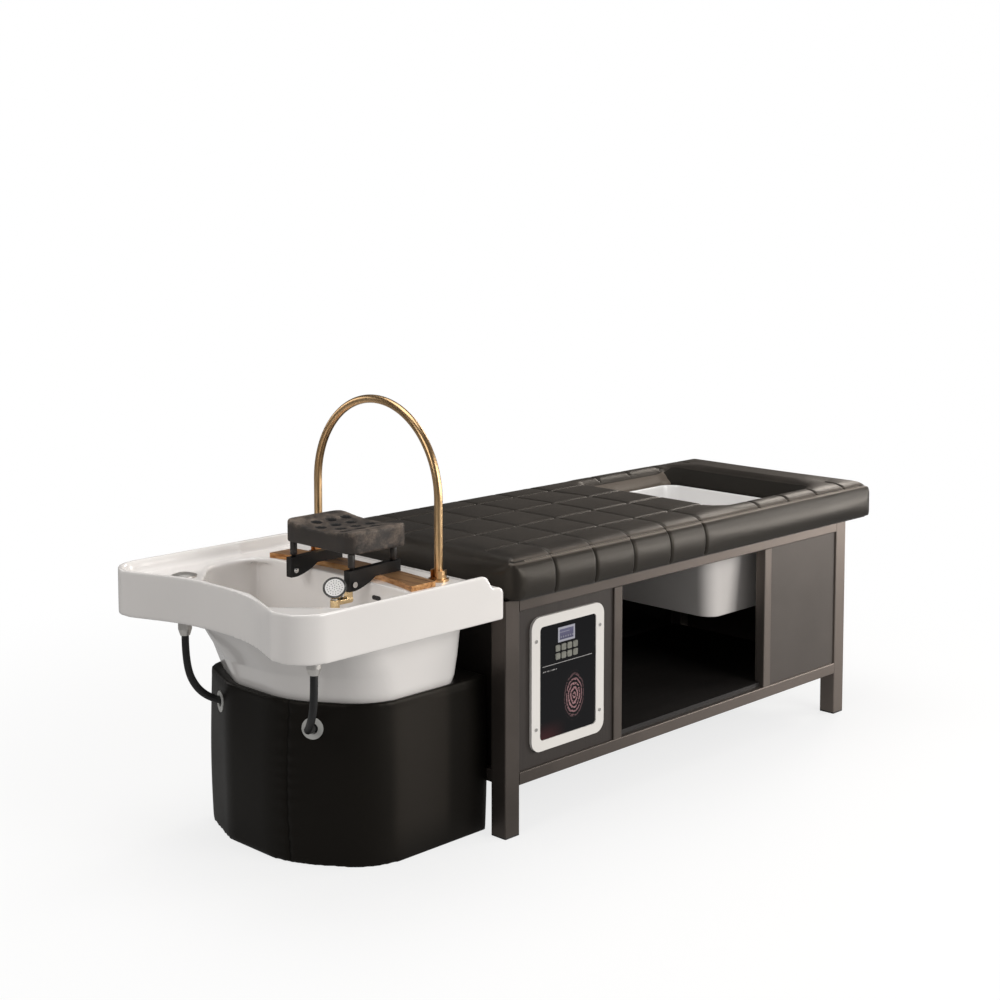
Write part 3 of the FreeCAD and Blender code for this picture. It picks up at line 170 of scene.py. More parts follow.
class Shader(Nodes):
    """Material under construction, with the textures that its finish is mixed from."""

    def __init__(self, name):
        self.material = bpy.data.materials.new(name)
        super().__init__(self.material)
        self.surface = self.tree.nodes.new("ShaderNodeBsdfPrincipled")
        self.output = self.tree.nodes.new("ShaderNodeOutputMaterial")
        self.feed(self.output.inputs["Surface"], Value(self, self.surface.outputs[0]))
        self.place = self.node("ShaderNodeTexCoord", {}, {}, "Object")

    def set(self, **sockets):
        for key, given in sockets.items():
            name = key.replace("_", " ").title().replace("Ior", "IOR")
            self.feed(self.surface.inputs[name], given)

    def finish(self, relief, depth, strength, **sockets):
        """Set the surface's sockets, press the relief into it and give the material."""
        self.set(**sockets)
        self.set(normal=self.node("ShaderNodeBump", {}, {"Height": relief, "Distance": depth,
                                                         "Strength": strength}, "Normal"))
        return self.material

    def noise(self, scale, detail=3.0, rough=0.55, stretch=None):
        place = self.place
        if stretch:
            place = self.node("ShaderNodeMapping", {}, {"Vector": place, "Scale": stretch},
                              "Vector")
        return self.node("ShaderNodeTexNoise", {},
                         {"Vector": place, "Scale": scale, "Detail": detail,
                          "Roughness": rough}, "Fac")

    def cells(self, scale):
        return self.node("ShaderNodeTexVoronoi", {"feature": "F1"},
                         {"Vector": self.place, "Scale": scale}, "Distance")

    def axes(self):
        """Each point's place along, across and up the bed."""
        split = self.node("ShaderNodeSeparateXYZ", {}, {"Vector": self.place}, "X")
        return [Value(self, socket) for socket in split.socket.node.outputs]

    def reach(self, operation, other=(0.0, 0.0, 0.0)):
        return self.node("ShaderNodeVectorMath", {"operation": operation},
                         {0: self.place, 1: other}, "Value")

    def ramp(self, factor, *stops):
        return self.node("ShaderNodeValToRGB", {"stops": stops}, {"Fac": factor}, "Color")

    def mottle(self, factor, colour, darker, lighter, low=0.3, middle=0.5, high=0.75):
        """Colour that goes darker and lighter in patches."""
        return self.ramp(factor, (low, shade(colour, darker)), (middle, colour),
                         (high, shade(colour, lighter)))

    def mix(self, factor, first, second):
        return self.node("ShaderNodeMix", {"data_type": "RGBA"},
                         {0: factor, 6: first, 7: second}, 2)

    def span(self, value, low, high, to_low=0.0, to_high=1.0):
        return self.node("ShaderNodeMapRange", {"interpolation_type": "SMOOTHSTEP"},
                         {"Value": value, "From Min": low, "From Max": high, "To Min": to_low,
                          "To Max": to_high}, "Result")

    def near_line(self, value, start, pitch):
        """1 on the lines that repeat at a pitch, 0 a few millimetres away."""
        away = abs(((value - start) / pitch + 100.5).fraction() - 0.5)
        return self.span(away * pitch, 0.0030, 0.0008)


def fill_ramp(ramp, stops):
    while len(ramp.elements) < len(stops):
        ramp.elements.new(1.0)
    for element, (position, colour) in zip(ramp.elements, stops):
        element.position = position
        element.color = (*colour, 1.0)


def shade(colour, factor):
    return tuple(min(1.0, part * factor) for part in colour)


# Finishes

def leather_grain(s, colour, mottle, gloss):
    """Pebble grain, creases and uneven sheen shared by the leather pieces."""
    pebbles = s.cells(LEATHER_GRAIN)
    fine = s.noise(LEATHER_GRAIN * 1.9, 2.0)
    cloud = s.noise(5.0, 4.0)
    creases = s.noise(46.0, 6.0, 0.7)
    tone = s.mottle(cloud * 0.7 + fine * 0.3, colour, 1 - mottle, 1 + 1.6 * mottle,
                    low=0.25, high=0.8)
    rough = gloss + 0.16 * cloud - 0.1 * pebbles
    relief = pebbles * 0.0002 + fine * 0.0001 + creases * 0.0003
    return tone, rough, relief


def cushion_leather(name, colour):
    """Leather of the cushion, with the sewn channels drawn sharp where panels meet: painted
    shade in the channels and on the opening's end wall, a painted highlight beside the edge
    seam and painted light on the opening's far wall.
    """
    s = Shader(name)
    tone, rough, relief = leather_grain(s, colour, 0.25, 0.36)
    along, across, up = s.axes()
    aside = abs(across)
    head_part = along.below(OPENING_X0 - 0.004)
    on_top = up.above(BED_TOP - 0.026)
    cross = s.near_line(along, HEAD_X, ACROSS_PITCH) * head_part * along.above(HEAD_X + 0.05)
    long = s.near_line(across, SEAMS_ALONG[0], ALONG_PITCH) * head_part * on_top
    long = long * along.above(HEAD_X + 0.034) * aside.below(0.25)
    rim = s.near_line(along, RIM_START, RIM_PITCH) * up.above(EDGE_SEAM_Z)
    rim = rim * along.within(RIM_START - 0.02, RIM_SEAMS[-1] + 0.02) * aside.above(LINING_HALF)
    outer = aside.above(HALF_BED - EDGE_BAND).most(along.above(FOOT_X - EDGE_BAND))
    from_edge = abs(up - EDGE_SEAM_Z)
    groove = s.span(from_edge, 0.0015, 0.0005) * outer
    # Painted highlight: the leather on either side of the edge seam is painted lighter, where
    # it bulges over the welt.
    welt_with_painted_highlight = s.span(from_edge, 0.0075, 0.0035) * outer * (1 - s.span(from_edge, 0.0022, 0.0012))
    # Painted shade: the channels and the edge groove are painted darker, where shade falls in
    # them.
    seam = cross.most(long).most(rim.most(groove))
    worn = s.span(s.noise(18.0, 6.0, 0.7), 0.46, 0.74) * on_top
    lining = up.below(BED_TOP - 0.008) * aside.below(LINING_HALF)
    # Painted shade on the opening's end wall, which faces away from the lamps, and painted
    # light on its far wall, standing in for its sheen.
    end_wall_painted_shade = lining * along.within(OPENING_X1 - 0.012, OPENING_X1 + 0.04)
    far_wall_painted_light = lining * across.above(OPENING_HALF - 0.015)
    far_wall_painted_light = far_wall_painted_light * along.within(OPENING_X0 + 0.02, OPENING_X1 - 0.012)
    # Mix in worn patches, the painted highlight beside the edge seam, the painted shade in the
    # channels, the painted light on the far wall and the painted shade on the end wall.
    for part, lighter in ((worn * 0.35, 2.6), (welt_with_painted_highlight * 0.6, 6.0), (seam * 0.85, 0.18),
                          (far_wall_painted_light * 0.8, 7.5), (end_wall_painted_shade * 0.85, 0.15)):
        tone = s.mix(part, tone, shade(colour, lighter))
    return s.finish(relief - seam * 0.0012 + welt_with_painted_highlight * 0.0010, 1.0, 0.6, base_color=tone,
                    roughness=rough + seam * 0.25 + end_wall_painted_shade * 0.45, specular_ior_level=0.40,
                    specular_tint=WARM_SHEEN)


def skirt_leather(name, colour):
    """The skirt's leather, with painted shade in its upright seam and a painted sheen band
    beside the bed.
    """
    s = Shader(name)
    tone, rough, relief = leather_grain(s, colour, 0.2, 0.40)
    along, across, up = s.axes()
    away = abs(across - SKIRT_SEAM_Y - 0.004 * (up * 9.0).sine())
    # Painted shade: the upright seam is painted darker, where shade falls in its groove.
    seam = s.span(away, 0.0028, 0.0006) * along.below(SKIRT_LOW[0] + 0.06)
    # Painted sheen: a lighter upright band on the front face, standing in for a reflection of
    # the lamps.
    painted_sheen_band = s.span(along, -0.695, -0.665) * s.span(along, -0.505, -0.535)
    painted_sheen_band = painted_sheen_band * across.below(-0.15) * s.span(up, 0.0, 0.10)
    for part, lighter in ((painted_sheen_band * 0.75, 4.2), (seam * 0.8, 0.15)):
        tone = s.mix(part, tone, shade(colour, lighter))
    return s.finish(relief - seam * 0.001, 1.0, 0.6, base_color=tone,
                    roughness=rough + seam * 0.2, specular_ior_level=0.20,
                    specular_tint=WARM_SHEEN)


def satin_metal(name, colour, gloss=0.31, metallic=0.8, lighter=1.0):
    """Powder-coated steel: fine orange peel over faint metal flake.

    lighter says how much lighter the foot end is painted: a painted light gradient that stands
    in for the lamps lighting the foot end more.
    """
    s = Shader(name)
    flake = s.noise(1900.0, 1.0)
    peel = s.noise(420.0, 2.0)
    smear = s.noise(7.0, 5.0)
    tone = s.mottle(smear * 0.6 + flake * 0.4, colour, 0.82, 1.22, middle=0.55, high=0.8)
    # Painted light: the colour grows lighter towards the foot end, as if the lamps light that
    # end more.
    if lighter > 1:
        share = s.span(s.axes()[0], HEAD_X + 0.05, FOOT_X) ** 0.6
        tone = s.mix(share, tone, shade(colour, lighter))
    return s.finish(peel * 0.7 + flake * 0.2, 0.00015, 0.5, base_color=tone, metallic=metallic,
                    roughness=gloss + 0.14 * smear + 0.05 * flake)


def laminate(name, colour, gloss=0.42):
    """Cover sheet with a fine upright brushed texture."""
    s = Shader(name)
    threads = s.noise(260.0, 3.0, 0.6, (1.0, 1.0, 0.04))
    cloud = s.noise(4.0, 4.0)
    tone = s.mottle(threads * 0.55 + cloud * 0.45, colour, 0.8, 1.25)
    return s.finish(threads, 0.0002, 0.5, base_color=tone, metallic=0.35,
                    roughness=gloss + 0.12 * cloud - 0.06 * threads)


def gloss_shell(name, colour, gloss=0.14, dirt=0.05):
    """Moulded white acrylic: deep gloss, barely wavy, a touch warmer in patches."""
    s = Shader(name)
    cloud = s.noise(3.0, 5.0)
    wave = s.noise(14.0, 2.0)
    smudge = s.noise(38.0, 6.0, 0.7)
    tone = s.ramp(cloud, (0.3, shade(colour, 1 - dirt)), (0.7, colour))
    return s.finish(wave, 0.0006, 0.25, base_color=tone, roughness=gloss + 0.06 * smudge,
                    coat_weight=0.35 + 0.2 * cloud, coat_roughness=0.06)


def polished_metal(name, dark, light, gloss=0.16, streak=(1.0, 1.0, 1.0)):
    """Plated metal with faint drawn lines, finger marks and deeper tone in patches."""
    s = Shader(name)
    lines = s.noise(620.0, 3.0, 0.6, streak)
    marks = s.noise(55.0, 6.0, 0.7)
    cloud = s.noise(9.0, 4.0)
    tone = s.ramp(cloud * 0.6 + lines * 0.4, (0.3, dark), (0.7, light))
    return s.finish(lines, 0.00008, 0.5, base_color=tone, metallic=1.0,
                    roughness=gloss + 0.14 * marks * cloud + 0.04 * lines)


def marbled_bar(name):
    """Copper-coloured bar with a cloudy amber glaze."""
    s = Shader(name)
    swirl = s.noise(11.0, 4.0, 0.6)
    veins = s.noise(95.0, 4.0, 0.6, (1.0, 0.05, 1.0))
    tone = s.ramp(swirl * 0.35 + veins * 0.65,
                  (0.34, (0.22, 0.085, 0.03)), (0.44, (0.52, 0.24, 0.085)),
                  (0.56, (0.72, 0.40, 0.17)), (0.70, (0.86, 0.60, 0.36)))
    return s.finish(veins, 0.0003, 0.25, base_color=tone, metallic=0.8,
                    roughness=0.22 + 0.16 * veins, coat_weight=0.4 * swirl)


def rubber(name, colour, gloss=0.5):
    """Moulded rubber with a dry, dusty skin."""
    s = Shader(name)
    dust = s.noise(30.0, 6.0, 0.7)
    pores = s.noise(1100.0, 2.0)
    tone = s.mottle(dust, colour, 0.75, 1.7, 0.35, 0.6, 0.85)
    return s.finish(pores, 0.0002, 0.5, base_color=tone, roughness=gloss + 0.15 * dust)


def worn_foam(name):
    """Moulded foam of the head cushion, worn brown where heads rest on it."""
    s = Shader(name)
    _, across, up = s.axes()
    scuff = s.noise(26.0, 8.0, 0.72)
    pores = s.cells(900.0)
    skin = s.noise(240.0, 3.0)
    crest = s.span(up + 0.02 * scuff, 0.712, 0.726) * s.span(scuff, 0.35, 0.68)
    flank = s.span(across, -0.112, -0.119) * s.span(scuff, 0.40, 0.66) * 0.7
    dark = s.ramp(scuff, (0.3, (0.0125, 0.0095, 0.0078)), (0.7, (0.031, 0.023, 0.018)))
    light = s.ramp(skin, (0.3, (0.095, 0.070, 0.053)), (0.7, (0.19, 0.148, 0.115)))
    return s.finish(pores * 0.5 + skin * 0.5, 0.0004, 0.6, roughness=0.5 + 0.2 * scuff,
                    base_color=s.mix(crest.most(flank), dark, light))


def panel_face(name):
    """Gloss black control face with thin pale rules and a plain ripple printed inside."""
    s = Shader(name)
    across, _, up = s.axes()
    x0, z0 = GLASS_LOW[0], GLASS_LOW[2]
    rule = across.within(x0 + 0.010, GLASS_HIGH[0] - 0.012) * up.within(z0 + 0.169, z0 + 0.1705)
    grain = s.noise(520.0, 1.0, 0.5, (1.0, 1.0, 0.2))
    small = across.within(x0 + 0.012, x0 + 0.058) * up.within(z0 + 0.156, z0 + 0.1585)
    marks = rule * 0.8 + small * grain.above(0.47) * 0.75
    side = across - (x0 + 0.118)
    rise = up - (z0 + 0.083)
    distance = (side * side + rise * rise * 0.42) ** 0.5
    rings = ((distance + s.noise(60.0, 3.0) * 0.008) * 900.0).sine()
    ripple = rings.above(0.1) * s.span(distance, 0.040, 0.018) * s.noise(210.0, 2.0).above(0.42)
    ink = s.mix(ripple, (0.008, 0.008, 0.009), (0.30, 0.17, 0.18))
    # Painted glow: a reddish glow is painted into the lower left corner of the face.
    glow = s.span(up, z0 + 0.045, z0) * s.span(across, x0 + 0.10, x0 + 0.02)
    ink = s.mix(glow * 0.35, ink, (0.10, 0.028, 0.03))
    smear = s.noise(18.0, 6.0, 0.7)
    return s.finish(smear, 0.0003, 0.1, base_color=s.mix(marks, ink, (0.42, 0.41, 0.40)),
                    roughness=0.10 + 0.08 * smear, specular_ior_level=0.10)


def display_face(name):
    """Small lit screen: lavender field, pale border and a row of level bars."""
    s = Shader(name)
    across, _, up = s.axes()
    x0, x1 = DISPLAY_LOW[0], DISPLAY_HIGH[0]
    z0, z1 = DISPLAY_LOW[2], DISPLAY_HIGH[2]
    rim = across.below(x0 + 0.005) + across.above(x1 - 0.005)
    rim = rim + up.below(z0 + 0.005) + up.above(z1 - 0.005)
    step = ((across - x0) * 125.0).fraction()
    bars = step.below(0.55) * up.within(z0 + 0.009, z0 + 0.013)
    top = up.within(z1 - 0.013, z1 - 0.011) * across.below(x1 - 0.018)
    field = s.mix(s.span(up, z0, z1), (0.055, 0.053, 0.092), (0.10, 0.097, 0.16))
    field = s.mix(bars * 0.5 + top * 0.5, field, (0.26, 0.26, 0.31))
    dots = s.noise(900.0, 1.0)
    return s.finish(dots, 0.0001, 0.2, base_color=s.mix(rim, field, (0.33, 0.33, 0.37)),
                    roughness=0.16 + 0.08 * dots, emission_color=field, emission_strength=0.2)


def key_face(name):
    """Grey-green rubber keys, mottled by wear."""
    s = Shader(name)
    speck = s.noise(700.0, 3.0)
    cloud = s.noise(90.0, 3.0)
    tone = s.ramp(cloud * 0.6 + speck * 0.4, (0.3, (0.10, 0.10, 0.085)),
                  (0.6, (0.19, 0.19, 0.16)), (0.8, (0.27, 0.27, 0.23)))
    return s.finish(speck, 0.0002, 0.6, base_color=tone, roughness=0.5 + 0.2 * speck)


def board_wood(name, colour):
    """Board with long faint grain under a dull lacquer."""
    s = Shader(name)
    grain = s.noise(46.0, 7.0, 0.62, (0.06, 1.0, 1.0))
    pores = s.noise(620.0, 2.0, 0.5, (0.1, 1.0, 1.0))
    tone = s.mottle(grain * 0.8 + pores * 0.2, colour, 0.7, 1.35)
    return s.finish(grain * 0.5 + pores * 0.5, 0.0003, 0.4, base_color=tone,
                    roughness=0.42 + 0.2 * grain)


def dull_plastic(name, colour, gloss=0.45, sheen=0.5):
    """Moulded plastic with a fine spark-eroded texture."""
    s = Shader(name)
    spark = s.noise(1300.0, 2.0)
    cloud = s.noise(12.0, 5.0)
    tone = s.ramp(cloud, (0.3, shade(colour, 0.85)), (0.7, shade(colour, 1.12)))
    return s.finish(spark, 0.0002, 0.5, base_color=tone, roughness=gloss + 0.14 * spark,
                    specular_ior_level=sheen)


# Mesh work

def set_all(thing, **settings):
    for key, setting in settings.items():
        setattr(thing, key, setting)


def new_object(name, data):
    made = bpy.data.objects.new(name, data)
    bpy.context.scene.collection.objects.link(made)
    return made


def bake_modifiers(obj):
    """Turn the object's modifiers into its own mesh."""
    graph = bpy.context.evaluated_depsgraph_get()
    mesh = bpy.data.meshes.new_from_object(obj.evaluated_get(graph))
    obj.modifiers.clear()
    old = obj.data
    obj.data = mesh
    bpy.data.meshes.remove(old)


def rework(obj, kind, **settings):
    """Work one modifier into the object's own mesh."""
    set_all(obj.modifiers.new(kind.lower(), kind), **settings)
    bake_modifiers(obj)


def relax(obj, rounds, where=None):
    """Even out the surface, all over or only at the points picked by where."""
    group = "" if where is None else hold_points(obj, "relaxed", where)
    rework(obj, "SMOOTH", vertex_group=group, iterations=rounds, factor=0.5)


def hold_points(obj, name, where):
    """Put the points picked by where into a new group."""
    group = obj.vertex_groups.new(name=name)
    group.add([int(i) for i in np.nonzero(where)[0]], 1.0, "REPLACE")
    return name


def skin_of(node, name, voxel):
    """Copy of a node's solid with one even skin."""
    skin = new_object(name, NODES[node].data.copy())
    rework(skin, "REMESH", mode="VOXEL", voxel_size=voxel, use_smooth_shade=True)
    return skin


def points_of(obj, measure="co"):
    """The places of the object's points, or their normals."""
    flat = np.empty(len(obj.data.vertices) * 3, dtype=np.float64)
    obj.data.vertices.foreach_get(measure, flat)
    return flat.reshape(-1, 3)


def move_points(obj, points):
    obj.data.vertices.foreach_set("co", points.ravel())
    obj.data.update()


def press_in(obj, depths):
    """Move each point inwards by its depth."""
    move_points(obj, points_of(obj) - points_of(obj, "normal") * depths[:, None])


def smooth_faces(obj):
    obj.data.polygons.foreach_set("use_smooth", [True] * len(obj.data.polygons))
    obj.data.update()


def dress(obj, material):
    obj.data.materials.clear()
    obj.data.materials.append(material)


def dress_nodes(material, *nodes):
    for node in nodes:
        mesh_object = NODES[node]
        for slot in mesh_object.material_slots:
            slot.link = "OBJECT"
            slot.material = material
        if not mesh_object.material_slots:
            mesh_object.data.materials.append(material)


def round_edges(width, *nodes):
    for node in nodes:
        set_all(NODES[node].modifiers.new("edge", "BEVEL"), width=width, segments=3,
                limit_method="ANGLE", angle_limit=math.radians(40.0), harden_normals=False)


def mesh_from(name, points, faces):
    mesh = bpy.data.meshes.new(name)
    mesh.from_pydata([tuple(p) for p in points], [], faces)
    mesh.update()
    return new_object(name, mesh)


def add_rings(points, faces, count, profile, place, near=True, far=True):
    """Add a ring of points for each step of the profile, joined by faces.

    place gives the point for a step at a turn's cosine and sine; near and far say which end
    has a cap.
    """
    turns = [math.tau * k / count for k in range(count)]
    turns = [(math.cos(turn), math.sin(turn)) for turn in turns]
    first, last = len(points), len(profile) - 1
    points += [place(*step, *turn) for step in profile for turn in turns]
    for row in range(last):
        for k in range(count):
            a = first + row * count + k
            b = first + row * count + (k + 1) % count
            faces.append((a, b, b + count, a + count))
    if near:
        faces.append(tuple(first + k for k in reversed(range(count))))
    if far:
        faces.append(tuple(first + last * count + k for k in range(count)))


def finish_piece(obj, body, material, slot, *nodes):
    dress(obj, material)
    smooth_faces(obj)
    if nodes:
        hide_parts(*nodes)
    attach(obj, body)


# Forms of the cushion

def ease(values, start, end):
    """From 0 at start to 1 at end, straight in between."""
    return np.clip((values - start) / (end - start), 0, 1)


def dent(distance, width):
    """1 on a line, falling off within its width."""
    return np.exp(-(distance / width) ** 2)


def seam_pull(points):
    """How near each point is to a sewn channel, from 0 to 1."""
    x, y, z = points.T
    top = z > MATTRESS_LOW[2] + 0.004
    high = (z > EDGE_SEAM_Z) & (np.abs(y) > LINING_HALF)
    upper = (z > BED_TOP - 0.022) & (x > HEAD_X + 0.03) & (x <= OPENING_X0 - 0.004)
    pull = np.zeros(len(points))
    for where, values, seams, width in ((top, x, SEAMS_ACROSS, ACROSS_WIDTH),
                                        (high, x, RIM_SEAMS, ACROSS_WIDTH),
                                        (upper, y, SEAMS_ALONG, ALONG_WIDTH)):
        for place in seams:
            pull = np.maximum(pull, where * dent(values - place, width))
    return pull


def edge_pull(points):
    """How near each point is to the seam that runs round the cushion's upper edge."""
    x, y, z = points.T
    outer = (np.abs(y) > HALF_BED - EDGE_BAND) | (x > FOOT_X - EDGE_BAND)
    return outer * dent(z - EDGE_SEAM_Z, EDGE_WIDTH)


# Settings

class BedColours(bpy.types.PropertyGroup):
    """Colours of the bed's main finishes."""

    cushion: bpy.props.FloatVectorProperty(
        name="Cushion", description="Leather of the cushion and the skirt",
        default=(0.0165, 0.0136, 0.0112), size=3, subtype="COLOR", min=0.0, max=1.0)
    frame_metal: bpy.props.FloatVectorProperty(
        name="Frame", description="Coated steel tube",
        default=(0.098, 0.083, 0.073), size=3, subtype="COLOR", min=0.0, max=1.0)
    cover: bpy.props.FloatVectorProperty(
        name="Covers", description="Cover sheets between the legs",
        default=(0.036, 0.029, 0.025), size=3, subtype="COLOR", min=0.0, max=1.0)
    basin: bpy.props.FloatVectorProperty(
        name="Basins", description="Wash basin and foot basin",
        default=(0.82, 0.79, 0.765), size=3, subtype="COLOR", min=0.0, max=1.0)


class BedSizes(bpy.types.PropertyGroup):
    """Sizes of the soft pieces' detail."""

    channel_depth: bpy.props.FloatProperty(
        name="Channel depth", description="Depth of the sewn channels",
        default=0.0050, unit="LENGTH")
    puff: bpy.props.FloatProperty(
        name="Puff", description="Most that a quilted panel swells",
        default=0.006, unit="LENGTH")
    stitch_length: bpy.props.FloatProperty(
        name="Stitch", description="Length of one stitch",
        default=0.0055, unit="LENGTH")
    hose_diameter: bpy.props.FloatProperty(
        name="Hose", description="Outside diameter of the basin hoses",
        default=0.017, unit="LENGTH")


# Pieces

def settings():
    scene = bpy.context.scene
    return scene.bed_colours, scene.bed_sizes


class BED_OT_frame(bpy.types.Operator):
    """Finish the steel frame, its feet, covers and boards"""

    bl_idname = "bed.frame"
    bl_label = "Frame and covers"

    def execute(self, context):
        colours, _ = settings()
        tubes = [node for node in NODES if node.startswith(TUBE_NODES)]
        # Painted light: the tubes are painted lighter towards the foot end.
        bronze = satin_metal("frame_bronze", colours.frame_metal, lighter=2.1)
        dress_nodes(bronze, *tubes)
        dress_nodes(rubber("foot_rubber", (0.03, 0.028, 0.027)), "leg_foot_caps")
        dress_nodes(laminate("cover_sheet", colours.cover), "cover_front_left",
                    "cover_foot_end")
        # Painted shade: the back and head end covers are a darker copy of the cover sheet, so
        # the inside of the open bay looks shaded.
        dress_nodes(laminate("cover_sheet_painted_shade", shade(colours.cover, 0.45)),
                    "cover_back", "cover_head_end")
        # Painted light: the front right cover is a lighter satin sheet, standing in for the
        # light that falls on the foot end.
        dress_nodes(satin_metal("cover_sheet_painted_light", (0.098, 0.085, 0.076), 0.38, 0.55),
                    "cover_front_right")
        dress_nodes(board_wood("shelf_dark", (0.012, 0.010, 0.009)), "shelf_board")
        dress_nodes(board_wood("bed_ply", (0.016, 0.013, 0.011)), "bed_board")
        return {"FINISHED"}


class BED_OT_mattress(bpy.types.Operator):
    """Make the quilted leather cushion with its sewn channels"""

    bl_idname = "bed.mattress"
    bl_label = "Quilted cushion"

    steps = 20
    tension = {"quality": 5, "mass": 0.3, "tension_stiffness": 18.0,
               "compression_stiffness": 12.0, "shear_stiffness": 8.0, "bending_stiffness": 0.6,
               "use_pressure": True, "uniform_pressure_force": 4.0, "vertex_group_mass": "sewn"}

    def execute(self, context):
        colours, sizes = settings()
        cushion = skin_of("mattress", "cushion", 0.0066)
        relax(cushion, 2)
        rest = points_of(cushion)
        self.puff_up(cushion, rest, sizes.puff)
        rework(cushion, "SUBSURF", levels=1, render_levels=1)
        smooth_faces(cushion)
        points = points_of(cushion)
        pull = np.maximum(seam_pull(points), EDGE_DEPTH * edge_pull(points))
        press_in(cushion, pull * sizes.channel_depth)
        move_points(cushion, self.lean_walls(points_of(cushion)))
        finish_piece(cushion, "bed", cushion_leather("cushion_leather", colours.cushion),
                     "leather_black", "mattress")
        return {"FINISHED"}

    def lean_walls(self, points):
        """Draw the opening's walls outwards, as the leather is pulled over its edge."""
        x, y, z = points.T
        aside = np.abs(y)
        rise = ease(z, TUB_HIGH[2] + 0.006, TUB_HIGH[2] + 0.046)
        at_end = ease(aside, OPENING_HALF + 0.035, OPENING_HALF) * (x > OPENING_X1 - 0.02)
        at_end = at_end * ease(x, OPENING_X1 + 0.105, OPENING_X1 + 0.010)
        at_side = ease(x, OPENING_X0 + 0.01, OPENING_X0 + 0.04) * (aside > OPENING_HALF - 0.02)
        at_side = at_side * ease(x, OPENING_X1 + 0.03, OPENING_X1)
        at_side = at_side * ease(aside, OPENING_HALF + 0.075, OPENING_HALF + 0.010)
        moved = points.copy()
        moved[:, 0] += END_LEAN * rise * at_end
        moved[:, 1] += SIDE_LEAN * rise * at_side * np.sign(y)
        return moved

    def swell(self, cushion, rest, most):
        """Quick stand-in for the cloth: panels crowned between their seams."""
        x, y, z = rest.T
        flat = (x > HEAD_X + 0.02) & (x < OPENING_X0 - 0.02) & (z > BED_TOP - 0.03)
        along = np.abs(np.sin((x - HEAD_X) / ACROSS_PITCH * math.pi))
        across = np.abs(np.sin((y - SEAMS_ALONG[0]) / ALONG_PITCH * math.pi))
        moved = rest.copy()
        moved[:, 2] += flat * np.sqrt(along * across) * most * 0.7
        move_points(cushion, moved)

    def puff_up(self, cushion, rest, most):
        """Blow the cushion up under its seams with the cloth solver, then cap the swelling."""
        x, y, z = rest.T
        pull = np.maximum(seam_pull(rest), edge_pull(rest))
        low = z < MATTRESS_LOW[2] + 0.012
        inside = (np.abs(y) < OPENING_HALF + 0.004) & (z < BED_TOP - 0.03)
        inside &= (x > OPENING_X0 - 0.004) & (x < OPENING_X1 + 0.004)
        hold_points(cushion, "sewn", (pull > 0.35) | low | inside)
        cloth = cushion.modifiers.new("cloth", "CLOTH")
        set_all(cloth.settings, **self.tension)
        cloth.settings.effector_weights.gravity = 0.0
        cloth.collision_settings.use_collision = False
        cloth.point_cache.frame_end = self.steps
        scene = bpy.context.scene
        for number in range(1, self.steps + 1):
            scene.frame_set(number)
        bake_modifiers(cushion)
        scene.frame_set(1)
        shift = points_of(cushion) - rest
        scale = np.minimum(1.0, most / np.maximum(np.linalg.norm(shift, axis=1), 1e-9))
        move_points(cushion, rest + shift * scale[:, None])


class BED_OT_stitching(bpy.types.Operator):
    """Sew the double row of stitches along the cushion's edge seam"""

    bl_idname = "bed.stitching"
    bl_label = "Edge stitching"

    def execute(self, context):
        _, sizes = settings()
        cushion = bpy.data.objects["cushion"]
        graph = bpy.context.evaluated_depsgraph_get()
        skin = BVHTree.FromObject(cushion, graph)
        points, faces = [], []
        for side in (-1, 1):
            for drop in STITCH_ROWS:
                place = HEAD_X + 0.05
                while place < FOOT_X - 0.05:
                    self.stitch(points, faces, skin, place, side, drop, sizes.stitch_length)
                    place += sizes.stitch_length * STITCH_PITCH
        finish_piece(mesh_from("cushion_stitching", points, faces), "bed",
                     dull_plastic("stitch_thread", (0.36, 0.31, 0.26), 0.6), "leather_black")
        return {"FINISHED"}

    def stitch(self, points, faces, skin, x, side, drop, length):
        """One sewn stitch, lying on the leather."""
        ends = []
        for place in (x, x + length):
            source = Vector((place, side * (HALF_BED + 0.05), BED_TOP + 0.05))
            target = Vector((place, side * (HALF_BED - 0.03), BED_TOP - drop - 0.012))
            hit = skin.ray_cast(source, (target - source).normalized())
            if hit[0] is None:
                return
            ends.append(hit[0] + hit[1] * 0.0004)
        start, end = ends
        way = (end - start).normalized()
        out = way.cross(Vector((0, 0, 1))) * -side
        out = (out + Vector((0, 0, 0.7))).normalized()
        flank = way.cross(out).normalized()
        out, flank = out * 0.0006, flank * 0.0008
        profile = ((start, 0.35), (start.lerp(end, 0.25), 1.0), (start.lerp(end, 0.75), 1.0),
                   (end, 0.35))
        add_rings(points, faces, 6, profile,
                  lambda spot, size, c, s: spot + (out * c + flank * s) * size)


